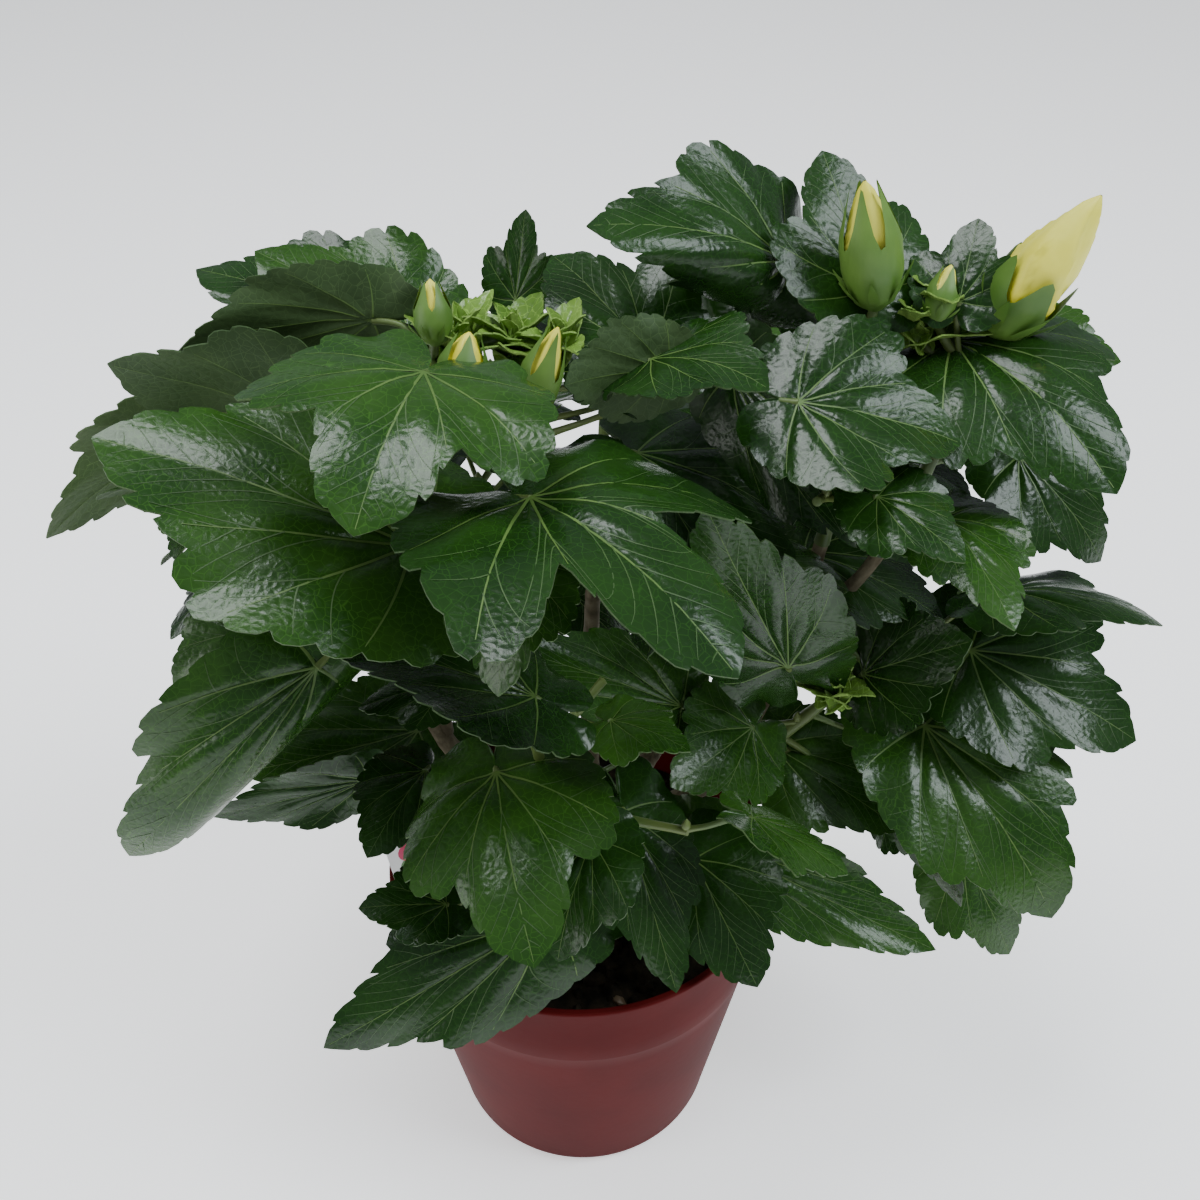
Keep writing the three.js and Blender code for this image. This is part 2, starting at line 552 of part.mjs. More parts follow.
// A furled bud on its stalk: a turned egg with a pointed tip.
function budSolid([x, y, z, turn, rise, long, wide], stem, grow) {
  const egg = BUD.profile.map(([across, along]) => new THREE.Vector2(
    across > 0 ? across * wide + grow : 0,
    along * long + (along === 0 ? -grow : along === 1 ? grow : 0),
  ));
  const shape = new THREE.LatheGeometry(egg, BUD.sides).rotateX(Math.PI / 2);
  shape.rotateY(radians(90 - rise)).rotateZ(radians(turn)).translate(x, y, z);
  const foot = new THREE.Vector3(x, y, z);
  const start = nearest(samplesOf(stem, 12), foot);
  return toSolid(shape).add(limb([start, foot.setZ(z + BUD_TWIG.lift)], { ...TWIG, steps: 1, grow }));
}

// A tuft is a twig with young leaves sunk in round its end.
function growTuft([x, y, z, count, long], stem, seed) {
  const end = new THREE.Vector3(x, y, z);
  const twig = [nearest(samplesOf(stem, 12), end.clone().setZ(z - BUD_TWIG.drop)), end];
  const leaves = Array.from({ length: count }, (_, index) => {
    const up = index / count;
    const turn = seed * TUFT.turn + index * GOLDEN_TURN;
    const foot = onPath(twig, 1 - TUFT.along * (1 - up)).toArray();
    const rise = TUFT.rise[0] + (TUFT.rise[1] - TUFT.rise[0]) * up;
    const shape = [long * (1 - TUFT.shrink * up), YOUNG.wide, ...TUFT.shape];
    return makeLeaf([...foot, turn, rise, 0, ...shape], seed + index);
  });
  return { twig, leaves };
}

function insideCrown(place) {
  const { x, y, z } = place.clone().sub(CROWN.centre).divide(CROWN.radii);
  const overPot = Math.hypot(place.x, place.y) < OVER_POT.radius && place.z < OVER_POT.height;
  return x * x + y * y + z * z < 1 && !overPot;
}

function isNear(place, others, room) {
  return others.some((other) => place.distanceToSquared(other) < room * room);
}

// A measured leaf keeps its place, or makes way by as little as clears it best.
function settle(leaf, taken) {
  const home = leaf.head.clone();
  const line = home.clone().sub(BEFORE).normalize();
  let fewest = Infinity;
  let best = home;
  for (const step of MAKE_WAY) {
    leaf.head = home.clone().addScaledVector(line, step);
    const crossed = feelers(leaf).filter((own) => isNear(own, taken, CROSSING)).length;
    if (crossed < fewest) {
      fewest = crossed;
      best = leaf.head;
    }
  }
  leaf.head = best;
}

// A way level 1 out at degrees round from +X, climbing by so much.
function towards(degrees, climb) {
  return new THREE.Vector3(Math.cos(radians(degrees)), Math.sin(radians(degrees)), climb);
}

// Twigs spiral up the stem, long at its foot and short at its tip. Each carries three leaves, and
// one that finds no room is skipped, with its twig where none of the three has any.
function growTwigs(mass, seed, taken) {
  const random = seededRandom(seed * 977 + 11);
  const crowd = mass.leaves.length ? TWIGS.among : 1;
  const spread = (middle, range) => middle + range * (random() - 0.5);
  for (let index = 0; index < mass.twigs; index += 1) {
    const up = (index + 0.5) / mass.twigs;
    const between = ([low, high]) => low + (high - low) * up;
    const turn = seed * TWIGS.turn + index * GOLDEN_TURN;
    const foot = onPath(mass.stem, TWIGS.from + up * (1 - TWIGS.from));
    const length = between(TWIGS.long);
    const tip = foot.clone().addScaledVector(towards(turn, between(TWIGS.climb)).normalize(), length);
    const twig = [foot, foot.clone().lerp(tip, 0.5).setZ((foot.z + tip.z) / 2 - length * TWIGS.sag), tip];
    const clear = (places) => places.every((place) => !isNear(place, taken, CROSSING));
    const leaves = [];
    if (!clear([0.4, 0.6, 0.8, 1].map((at) => onPath(twig, at)))) {
      continue;
    }
    TWIGS.leaves.forEach(({ at, aside, size }, number) => {
      const heading = turn + spread(aside, TWIGS.vary.aside);
      const rise = spread(between(TWIGS.rise), TWIGS.vary.rise);
      const long = between(TWIGS.leaf) * size * crowd * spread(1, TWIGS.vary.long);
      const roll = spread(0, TWIGS.vary.roll);
      const start = onPath(twig, at);
      const head = start.clone().addScaledVector(towards(heading, TWIGS.stalkClimb), between(TWIGS.stalk));
      if (!clear([0.4, 0.7].map((share) => start.clone().lerp(head, share)))) {
        return;
      }
      const place = [...head.toArray(), heading, rise, roll];
      const { wide, fold, curl, lobing, wave } = TWIGS;
      const shape = [wide, fold, between(TWIGS.droop), curl, curl, lobing, wave];
      const fitting = TWIGS.sizes
        .map((share) => makeLeaf([...place, long * share, ...shape], seed + index + number))
        .find((leaf) => feelers(leaf).every((own) => insideCrown(own) && !isNear(own, taken, LEAF_ROOM)));
      if (fitting) {
        fitting.foot = start;
        leaves.push(fitting);
        taken.push(...feelers(fitting));
      }
    });
    if (leaves.length > 0) {
      mass.twigsGrown.push({ twig, leaves });
      taken.push(...samplesOf(twig, 6).slice(1), ...leaves.flatMap(stalkPoints));
    }
  }
}

function growFoliage() {
  const taken = BOUGHS.flatMap(({ path }) => samplesOf(path.map(point), 16));
  MASSES.forEach((mass, index) => {
    mass.stem = mass.stem.map(point);
    mass.onStem = mass.leaves.map((row, leafIndex) => makeLeaf(row, index + leafIndex));
    mass.onStem.forEach((leaf) => {
      settle(leaf, taken);
      taken.push(...feelers(leaf));
    });
    mass.tuftsGrown = mass.tufts.map((row) => growTuft(row, mass.stem, index));
    mass.tuftsGrown.forEach(({ leaves }) => leaves.forEach((leaf) => taken.push(bladePoint(leaf, 0, 0.6))));
    mass.twigsGrown = [];
  });
  MASSES.forEach(({ stem, onStem }) => {
    seatStalks(stem, onStem);
    taken.push(...samplesOf(stem, 12), ...onStem.flatMap(stalkPoints));
  });
  MASSES.forEach((mass, index) => growTwigs(mass, index + 1, taken));
}

function foliageOf(mass, grow) {
  return Manifold.union([
    limb(mass.stem, { ...STEM, grow }),
    ...mass.onStem.map((leaf) => leafSolid(leaf, grow)),
    ...mass.buds.map((row) => budSolid(row, mass.stem, grow)),
    ...mass.tuftsGrown.flatMap(({ twig, leaves }) => [
      limb(twig, { ...TWIG, steps: 1, grow }),
      ...leaves.map((leaf) => youngSolid(leaf, grow)),
    ]),
    ...mass.twigsGrown.flatMap(({ twig, leaves }) => [
      limb(twig, { ...TWIG, grow }),
      ...leaves.map((leaf) => leafSolid(leaf, grow)),
    ]),
  ]);
}

// ---- the parts ----
// How far out the pot's side is at a height above its band, outside and inside.
function outerRadius(height) {
  return POT.band + ((POT.rim - POT.band) * (height - POT.bandLow)) / (POT.height - POT.bandLow);
}

function innerRadius(height) {
  const lip = POT.rim - POT.wall - RIM_ROLL.bead;
  const side = POT.band - POT.wall;
  return side + ((lip - side) * (height - POT.bandLow)) / (POT.height - RIM_ROLL.inside - POT.bandLow);
}

function potSolid() {
  const { height, rim, band, bandLow, step, base, baseRound, wall, floor } = POT;
  const foot = [0, 30, 60, 90].map((degrees) => [
    base - baseRound * (1 - Math.sin(radians(degrees))),
    baseRound * (1 - Math.cos(radians(degrees))),
  ]);
  const outside = [
    ...foot, [band - step, bandLow - step], [band, bandLow],
    [outerRadius(height - RIM_ROLL.outside), height - RIM_ROLL.outside], [rim - RIM_ROLL.bead, height],
  ];
  const inside = [
    [rim - wall - RIM_ROLL.bead / 2, height],
    [innerRadius(height - RIM_ROLL.inside), height - RIM_ROLL.inside],
    [innerRadius(bandLow), bandLow], [base - wall, baseRound], [base - baseRound, floor],
  ];
  const shell = turned([[0, 0], ...outside, ...inside, [0, floor], [0, 0]], POT_SIDES);
  const cuts = [];
  for (let index = 0; index < NOTCH.count; index += 1) {
    const turn = radians(NOTCH.turn + (index * 360) / NOTCH.count);
    const box = new THREE.BoxGeometry(NOTCH.deep * 2, NOTCH.wide, NOTCH.high * 2);
    cuts.push(toSolid(box.translate(base, 0, 0).rotateZ(turn)));
  }
  for (let index = 0; index < DRAIN.count; index += 1) {
    const turn = radians((index * 360) / DRAIN.count);
    const hole = new THREE.CylinderGeometry(DRAIN.radius, DRAIN.radius, floor * 4, 10).rotateX(Math.PI / 2);
    cuts.push(toSolid(hole.translate(DRAIN.ring * Math.cos(turn), DRAIN.ring * Math.sin(turn), 0)));
  }
  return shell.subtract(Manifold.union(cuts));
}

// The room that the pot's rim takes up, which leaves that hang over it keep out of.
function rimRoom() {
  const [inside, outside, top] = [POT.band - POT.wall - GAP, POT.rim + GAP, POT.height + GAP];
  return turned([[inside, 0], [outside, 0], [outside, top], [inside, top], [inside, 0]], POT_SIDES);
}

// The soil fills the pot, clear of it all round, and has a slot for the label's spike.
function soilSolid(slot) {
  const { bandLow, base, baseRound, wall, floor } = POT;
  const edge = SOIL.top - SOIL.heap;
  return turned([
    [0, floor + GAP], [base - baseRound - GAP, floor + GAP], [base - wall - GAP, baseRound + GAP],
    [innerRadius(bandLow) - GAP, bandLow], [innerRadius(edge) - GAP, edge],
    [innerRadius(edge) - SOIL.slope, SOIL.top - SOIL.crest], [0, SOIL.top], [0, floor + GAP],
  ], POT_SIDES).subtract(slot);
}

function labelSolid(grow) {
  const half = LABEL.wide / 2 + grow;
  const spike = LABEL.spikeWide / 2 + grow;
  const neck = LABEL.spike;
  const shoulder = neck + LABEL.shoulder;
  const top = shoulder + LABEL.body + grow;
  const outline = new THREE.Shape();
  outline.moveTo(0, -grow);
  outline.lineTo(spike, LABEL.point - grow);
  outline.lineTo(spike, neck);
  outline.lineTo(half, shoulder);
  outline.lineTo(half, top - LABEL.corner);
  outline.quadraticCurveTo(half, top, half - LABEL.corner, top);
  outline.lineTo(LABEL.corner - half, top);
  outline.quadraticCurveTo(-half, top, -half, top - LABEL.corner);
  outline.lineTo(-half, shoulder);
  outline.lineTo(-spike, neck);
  outline.lineTo(-spike, LABEL.point - grow);
  outline.closePath();
  const depth = LABEL.thick + 2 * grow;
  const plate = new THREE.ExtrudeGeometry(outline, { depth, bevelEnabled: false, curveSegments: 3 });
  const up = LABEL_RISE.clone().normalize();
  const facing = new THREE.Vector3(Math.cos(radians(LABEL_FACE)), Math.sin(radians(LABEL_FACE)), 0);
  const across = new THREE.Vector3().crossVectors(up, facing).normalize();
  const front = new THREE.Vector3().crossVectors(across, up);
  plate.translate(0, 0, -depth / 2);
  plate.applyMatrix4(new THREE.Matrix4().makeBasis(across, up, front).setPosition(LABEL_FOOT));
  return toSolid(plate);
}

// The trunk flares to its root and is cut flat just clear of the soil.
function trunkSolid(grow = 0) {
  const { path, ...shape } = TRUNK;
  const whole = limb(path.map(point), { ...shape, grow });
  const cut = SOIL.top + (grow > 0 ? 0 : GAP);
  const below = new THREE.BoxGeometry(60, 60, 40).translate(0, 0, cut - 20);
  return whole.subtract(toSolid(below));
}

function boughSolids(trunkRoom) {
  let room = trunkRoom;
  const solids = BOUGHS.map(({ name, path, thick, thin }) => {
    const shape = { ...LIMB, thick, thin };
    const solid = limb(path.map(point), shape).subtract(room);
    room = room.add(limb(path.map(point), { ...shape, grow: GAP }));
    return { name, solid };
  });
  return { solids, room };
}

function largestPiece(solid) {
  return solid.decompose().reduce((best, next) => (next.volume() > best.volume() ? next : best));
}

const shrub = new THREE.Group();
const labelRoom = labelSolid(GAP);
const { solids: boughs, room: boughRoom } = boughSolids(trunkSolid(GAP));
growFoliage();
shrub.add(toMesh("pot", potSolid(), CLAY_RED));
shrub.add(toMesh("soil", soilSolid(labelRoom), PEAT));
shrub.add(toMesh("plant_label", labelSolid(0), PRINTED_PLASTIC));
shrub.add(toMesh("trunk", trunkSolid(), BARK));
boughs.forEach(({ name, solid }) => shrub.add(toMesh(name, closeSlivers(largestPiece(solid)), BARK)));
let room = Manifold.union([boughRoom, labelRoom, rimRoom()]);
MASSES.forEach((mass) => {
  const solid = largestPiece(foliageOf(mass, 0).subtract(room));
  shrub.add(toMesh(mass.name, closeSlivers(solid), LEAF_GREEN));
  room = room.add(foliageOf(mass, GAP));
});

export default shrub;
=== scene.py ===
import math

import bpy
import numpy as np
from mathutils import Matrix, Vector, noise


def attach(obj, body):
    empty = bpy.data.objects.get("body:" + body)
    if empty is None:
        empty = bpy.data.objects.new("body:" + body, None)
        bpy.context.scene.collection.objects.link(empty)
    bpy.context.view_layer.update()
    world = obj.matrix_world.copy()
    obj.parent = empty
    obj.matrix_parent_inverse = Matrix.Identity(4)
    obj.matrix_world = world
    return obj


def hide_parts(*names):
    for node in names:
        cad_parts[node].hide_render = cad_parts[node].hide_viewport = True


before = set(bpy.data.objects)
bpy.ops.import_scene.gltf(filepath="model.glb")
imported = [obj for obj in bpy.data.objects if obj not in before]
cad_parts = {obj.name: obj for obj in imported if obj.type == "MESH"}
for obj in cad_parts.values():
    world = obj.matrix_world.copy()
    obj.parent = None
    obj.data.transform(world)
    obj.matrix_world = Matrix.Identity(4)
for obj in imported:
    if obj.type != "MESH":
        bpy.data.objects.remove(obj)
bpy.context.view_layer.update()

MM = 0.001


# ---- driving sizes, the same as the source's ----
POT = dict(
    height=118.5, rim=65, band=62.8, band_low=90.6, step=1.2, base=48, base_round=7, wall=1.8, floor=2.2)
RIM_ROLL = dict(outside=1.6, inside=3.2, bead=0.8)
NOTCH = dict(count=4, deep=7, wide=18, high=3, turn=40)
DRAIN = dict(count=4, radius=4, ring=30)
SOIL = dict(top=105, heap=2.5)
LABEL = dict(wide=22, body=42, shoulder=9, spike=26, spike_wide=6, corner=3, thick=1.1, point=10)
LABEL_FOOT = (-40, -30, SOIL["top"] - 12)
LABEL_RISE = (-10, -2, 85)
LABEL_FACE = -68

TRUNK = dict(path=[(5, 3, SOIL["top"] - 6), (4, 2, 112), (2, 2, 128)], thick=7, thin=5.4)
ROOT_FLARE = dict(spread=0.8, height=5)


def limb(name, path, thick, thin):
    return dict(name=name, path=path, thick=thick, thin=thin)


BOUGHS = [
    limb("bough_right", [(3, 0, 121), (24, -2, 137), (46, 2, 152), (60, 4, 160)], 4.2, 2.8),
    limb("bough_right_high", [(46, 2, 153), (62, 12, 182), (74, 18, 232)], 3, 2.2),
    limb("bough_right_outer", [(67, 14, 203), (86, 14, 222), (98, 14, 250)], 2.2, 1.8),
    limb("bough_left", [(1, 3, 119), (-20, 4, 142), (-40, 2, 165), (-56, 8, 205)], 4.2, 2.4),
    limb("bough_left_high", [(-42, 3, 172), (-46, 12, 222), (-42, 18, 262)], 2.6, 2),
    limb("bough_middle", [(2, 3, 127), (-5, 3, 170), (-10, 2, 222), (-8, 8, 256)], 3.8, 2.2),
    limb("bough_front", [(2, -1, 122), (1, -18, 146), (-8, -28, 172)], 3.2, 2.2),
    limb("bough_back_left", [(0, 6, 122), (-14, 22, 146), (-28, 36, 176)], 3.8, 2.4),
    limb("bough_back", [(3, 6, 125), (4, 22, 165), (6, 34, 214)], 3.6, 2.2),
    limb("bough_back_right", [(6, 6, 121), (26, 22, 144), (44, 36, 172)], 3.8, 2.4),
]
STEM = dict(thick=2.2, thin=1.4)
TWIG = dict(thick=1.5, thin=1.2)
STALK = dict(neck=0.15, drop=1.95, ease=0.4, probes=(0.3, 0.5, 0.7))

OUTLINE = np.array([(0, 1), (14, 0.86), (30, 0.76), (50, 0.7), (72, 0.6), (95, 0.5), (120, 0.44),
                    (145, 0.4), (165, 0.3), (180, 0.1)])
OUTLINE_WIDTH = 1.12
LOBE = dict(notch=27, notch_span=10, notch_depth=0.42, side=52, side_span=12, side_reach=0.16)
YOUNG_WIDE = 0.75
GOLDEN_TURN = 137.5
TUFT = dict(drop=12, along=0.3, turn=50, rise=(25, 70), shrink=0.4, shape=(15, 30, 15, 15, 0, 0.5))
CROWN = dict(centre=np.array([2, 6, 215]), radii=np.array([172, 134, 130]))
OVER_POT = dict(radius=74, height=128)
LEAF_ROOM = 5
CROSSING = 4
FEELER_SHARES = [0.2, 0.4, 0.6, 0.8, 1]
BEFORE = np.array([0, -285, 443])
MAKE_WAY = [0, 6, -6, 12, -12, 18]
TWIGS = dict(
    start=0.1, turn=67, long=(46, 24), climb=(-0.1, 0.9), sag=0.06,
    leaf=(66, 44), stalk=(20, 13), stalk_climb=0.5, rise=(-16, 22), droop=(30, 50),
    wide=0.95, fold=4, curl=-15, lobing=0.25, wave=2.5,
    vary=dict(aside=30, rise=16, long=0.2, roll=50),
    sizes=(1, 0.85, 0.7, 0.55), among=0.55,
    leaves=[dict(at=0.5, aside=-75, size=1), dict(at=0.8, aside=65, size=0.9),
            dict(at=0.96, aside=0, size=0.85)],
)

# The masses of foliage. leaves: head of petiole x, y, z; degrees that the tip points round from +X,
# rises, and rolls; length, width share; degrees that the halves fold up, the midrib droops, and the
# left and right edges curl; lobing; margin wave. buds: foot x, y, z; degrees round and rise; length,
# width. tufts of young leaves: x, y, z, number, length. twigs: number of side twigs.
MASSES = [
    dict(name="foliage_top_left", stem=[(-42, 18, 262), (-40, 16, 280), (-37, 14, 298)], twigs=4,
         leaves=[
             (-62, 56, 288, 170, 24, -24, 52, 0.95, 0, 25, 0, 0, 0.3, 2),
             (-47, 45, 290, 166, 32, -22, 48, 1.1, 0, 30, -20, 20, 0.3, 3),
             (-52, 22, 304, 171, 0, 80, 52, 0.6, 0, 45, 30, 0, 0.1, 1),
             (-34, -25, 312, -102, 8, -8, 50, 1.3, 8, 55, -20, -20, 0.6, 3),
         ],
         buds=[(-34, 2, 306, 95, 70, 16, 9), (-28, -13, 298, 60, 65, 17, 12)],
         tufts=[(-27, 12, 300, 4, 26)]),
    dict(name="foliage_left", stem=[(-56, 8, 205), (-66, 8, 228), (-74, 8, 250)], twigs=4,
         leaves=[
             (-75, 20, 277, -170, 30, 65, 50, 1, 0, 20, 10, -10, 0.1, 1),
             (-98, 14, 276, -172, -14, 58, 56, 0.9, 0, 40, 10, -10, 0.3, 2),
             (-41, -30, 267, 174, 28, -15, 80, 0.95, 8, 20, -20, -30, 0.2, 2),
             (-72, -22, 221, -138, -24, -44, 92, 0.5, 0, 62, -140, 0, 0.2, 2),
             (-92, -10, 225, -152, -14, -30, 30, 0.9, 0, 40, 0, 0, 0.2, 1),
         ],
         buds=[], tufts=[]),
    dict(name="foliage_left_low", stem=[(-2, 0, 117), (-24, -6, 134), (-44, -10, 152)], twigs=1,
         leaves=[
             (-46, -20, 178, -112, 12, -10, 34, 0.9, 0, 40, 0, 0, 0.1, 1),
             (-50, 0, 176, -155, 2, -60, 58, 0.7, 0, 30, 0, 0, 0.2, 2),
             (-67, -8, 162, -168, -8, -80, 50, 0.45, 0, 10, 0, 0, 0.1, 1),
         ],
         buds=[], tufts=[]),
    dict(name="foliage_middle", stem=[(-8, 8, 256), (-8, 12, 276), (-10, 16, 294)], twigs=4,
         leaves=[
             (-16, 60, 292, 66, 72, 8, 26, 0.8, 0, 10, 0, 0, 0.5, 1),
             (20, 12, 296, 128, 38, 0, 44, 1.05, 0, 30, -20, 20, 0.2, 2),
             (21, 10, 297, -40, 26, 10, 35, 1.1, 0, 40, 0, 0, 0.2, 2),
             (24, 0, 299, -172, 4, 92, 29, 0.95, 0, 30, 30, 0, 0.1, 1),
             (18, 18, 264, -40, -8, 8, 58, 0.95, 0, 40, 0, 0, 0.2, 2),
             (-10, -45, 290, -50, 12, 5, 67, 1.15, 8, 55, -40, 0, 1, 3),
         ],
         buds=[(-12, -14, 292, 20, 68, 26, 10)],
         tufts=[(-16, 16, 298, 4, 26), (-2, 8, 302, 3, 22)]),
    dict(name="foliage_front", stem=[(-8, -28, 172), (-10, -34, 190), (-12, -38, 206)], twigs=4,
         leaves=[
             (-23, -40, 197, -84, 6, 12, 58, 1, 0, 55, -20, -30, 0.4, 3),
             (-11, -45, 229, -179, 32, -5, 54, 0.8, 5, 20, 0, -30, 0.2, 2),
             (30, -20, 202, -156, 41, -48, 68, 0.45, 0, 20, 0, 0, 0.1, 2),
             (13, -32, 171, -74, -26, 12, 54, 0.62, 0, 40, 0, 0, 0.2, 2),
             (-10, -55, 152, -158, -20, -44, 78, 0.58, 0, 20, -20, -10, 0.2, 2),
             (-39, -54, 158, -166, 20, -20, 25, 0.9, 0, 20, 0, 0, 0.2, 1),
         ],
         buds=[], tufts=[]),
    dict(name="foliage_front_low", stem=[(5, -2, 117), (20, -12, 124), (34, -16, 130)], twigs=4,
         leaves=[
             (46, -17, 137, -30, -8, 44, 74, 0.42, 0, 20, 0, 0, 0.1, 1),
             (35, -30, 147, -70, -10, 20, 43, 1, 0, 35, 0, 0, 0.2, 2),
         ],
         buds=[], tufts=[]),
    dict(name="foliage_right_high", stem=[(74, 18, 232), (78, 18, 262), (76, 20, 290)], twigs=4,
         leaves=[
             (58, 28, 316, -147, 34, -45, 61, 0.86, 0, 45, -150, 0, 0.3, 3),
             (64, 32, 299, 90, 40, 10, 26, 0.85, 0, 10, 0, 0, 0.2, 1),
             (82, 36, 304, 112, 52, 0, 40, 1.1, 0, 20, 0, 0, 0.4, 2),
             (43, 15, 290, -60, -20, 62, 75, 0.48, 0, 30, 0, 0, 0.1, 1),
             (60, 6, 286, -18, 2, 30, 44, 1.1, 5, 30, 0, 0, 0.3, 3),
         ],
         buds=[(81, 20, 306, 170, 78, 34, 15)],
         tufts=[]),
    dict(name="foliage_right_top", stem=[(98, 14, 250), (104, 16, 272), (108, 20, 290)], twigs=4,
         leaves=[
             (103, 20, 296, -60, 8, 16, 62, 1, 5, 68, -30, -15, 0.3, 3),
             (130, 40, 287, -28, 8, 30, 28, 0.95, 0, 40, 0, 0, 0.2, 1),
             (107, 32, 302, 68, 52, 0, 24, 1.15, 0, 20, 0, 0, 0.5, 2),
             (100, -8, 258, -79, 6, 8, 42, 0.75, 5, 35, -20, -20, 0.3, 2),
             (131, 26, 256, -40, -26, 30, 44, 0.85, 0, 40, 0, 0, 0.3, 2),
         ],
         buds=[(98, 22, 300, 60, 60, 16, 9), (115, 24, 296, -15, 64, 44, 19)],
         tufts=[(99, 33, 300, 4, 28), (91, 27, 298, 3, 22)]),
    dict(name="foliage_right", stem=[(60, 4, 160), (80, 8, 178), (100, 6, 200)], twigs=4,
         leaves=[
             (62, -10, 207, -131, 57, -136, 80, 0.55, 0, 20, 0, 0, 0.1, 1),
             (89, 5, 191, -44, 46, 60, 40, 1, 0, 20, 0, 0, 0.1, 2),
             (128, 10, 219, -27, 24, -6, 47, 0.8, -5, 40, -20, -20, 0.4, 2),
             (119, 0, 204, -31, -8, 34, 60, 0.9, 0, 30, 0, 0, 0.3, 2),
             (108, -5, 178, -58, -15, 20, 76, 0.75, 5, 50, -20, -10, 0.2, 3),
             (105, 0, 156, -74, -40, 56, 50, 0.55, 0, 30, 0, 0, 0.1, 1),
             (108, 15, 128, -36, -40, 20, 32, 0.95, 0, 30, 0, 0, 0.2, 1),
             (130, -5, 119, -52, -44, 28, 44, 0.9, 0, 30, 0, 0, 0.3, 2),
             (62, 0, 166, -39, -6, 30, 50, 0.75, 0, 30, 0, 0, 0.2, 1),
             (70, 22, 226, -22, -4, 10, 50, 0.9, 0, 30, 0, 0, 0.2, 2),
             (55, 0, 174, -128, 12, -40, 38, 1, 0, 20, 0, 0, 0.2, 2),
         ],
         buds=[],
         tufts=[(80, -2, 188, 4, 20)]),
    dict(name="foliage_back_left", stem=[(-28, 36, 176), (-46, 44, 214), (-54, 46, 262)], twigs=14,
         leaves=[], buds=[], tufts=[]),
    dict(name="foliage_back", stem=[(6, 34, 214), (9, 46, 246), (12, 60, 278)], twigs=13,
         leaves=[], buds=[], tufts=[]),
    dict(name="foliage_back_right", stem=[(44, 36, 172), (68, 44, 210), (80, 46, 254)], twigs=14,
         leaves=[], buds=[], tufts=[]),
]

# ---- fine detail, only in the looks ----
TEETH = dict(
    count=15, places=(0, 0.2, 0.5, 0.8), heights=(-0.6, 0.35, 0.55, 0.2), deep=0.06,
    first=5, first_fade=9, last=122, last_fade=18, shift=0.08, vary=(0.55, 1.35))
BLADE_RINGS = 13
BLADE_THICK = 0.42
# Ribs leave the head of the petiole at these turns. A side vein has the rib that it leaves, how far it
# leans away from it in degrees, and the places where such veins start, as shares of the blade's reach.
RIB_TURNS = (0, 27, -27, 58, -58, 98, -98)
MIDRIB_VEINS = dict(lean=25, places=(0.24, 0.38, 0.52, 0.65, 0.77, 0.87), stagger=0.03)
SIDE_VEINS = [(27, 28, (0.34, 0.54, 0.73)), (27, -20, (0.6, 0.78)),
              (58, 38, (0.38, 0.62)), (58, -30, (0.5, 0.72))]
VEIN_END = dict(midrib=0.97, rib=0.93, side=0.95)
VEIN_PULL = 0.1  # share by which ribs draw in towards the midrib
GROOVE = dict(deep=0.012, wide=0.024, least=0.45)
RIPPLE = dict(high=0.008, ahead=13, aside=11)
RUFFLE = dict(high=0.022, turns=6, second=1.7, second_high=0.6)
RIB = dict(foot=0.0062, tip=0.0016, side_foot=0.0026, side_tip=0.001, above=0.05, steps=8)
BUD = dict(rings=26, sides=40, sepal_rings=12, bracts=7, large=40, sepals=0.5, small_sepals=0.95)
# Half widths of the rolled petals and of the calyx round them, over their heights, all as shares.
PETAL_PROFILE = ((0, 0.08, 0.3, 0.55, 0.78, 0.93, 1), (0.1, 0.3, 0.47, 0.45, 0.28, 0.14, 0.02))
CUP_PROFILE = ((0, 0.08, 0.3, 0.55, 0.78, 1), (0.12, 0.36, 0.53, 0.53, 0.36, 0.2))
YOUNG = dict(more=2, teeth=7, rings=6, narrow=0.8, tip_up=24, first=0.62, shrink=0.2, above=2)
TUBE = dict(sides=10, steps=9, bulge=0.4)
YOUNG_SHAPE = (0.55, 25, 25, 15, 15, 0, 0.5)  # as the end of a leaf's row, from its width share on
# A petiole's radius: along its run, at its foot and at its head, and how fast the last two fade.
PETIOLE = dict(radius=0.85, foot=0.45, foot_fade=12, head=0.25, head_fade=10, sag=0.04, sides=8)
AXIL_BUD = dict(out=1.2, high=4.2, radii=(0.5, 1.25, 1.45, 1.15, 0.7, 0.15))
KNOTS = dict(high=0.12, count=3, sharp=6)  # the joints along a twig
BARK = dict(ring=1.6, rough=0.018, first_scar=9, scar_gap=15)
POT_SIDES = 144
LUMP = dict(sides=8, tilts=(-60, -20, 20, 60), dents=(0.72, 1.2), squash=(0.5, 1.5))
CRUMBS = dict(count=420, chaff=0.86, shape=3, size=0.42, least=0.4)
SOIL_NOISE = ((0.16, 1.5), (0.5, 0.9))  # scale and height of its lumps
SOIL_GRAIN = (1.3, 0.4)
GRAIN_HIGH = 0.0006  # metres
INK = 0.05  # how far the label's print stands out
# The net of fine veins. high is in metres; tints are shares of the blade's lighter colour.
NETWORK = dict(strength=0.3, top_tint=1.5, under_tint=1.35, scale=420, line=0.04, dome=0.5, high=0.00022)

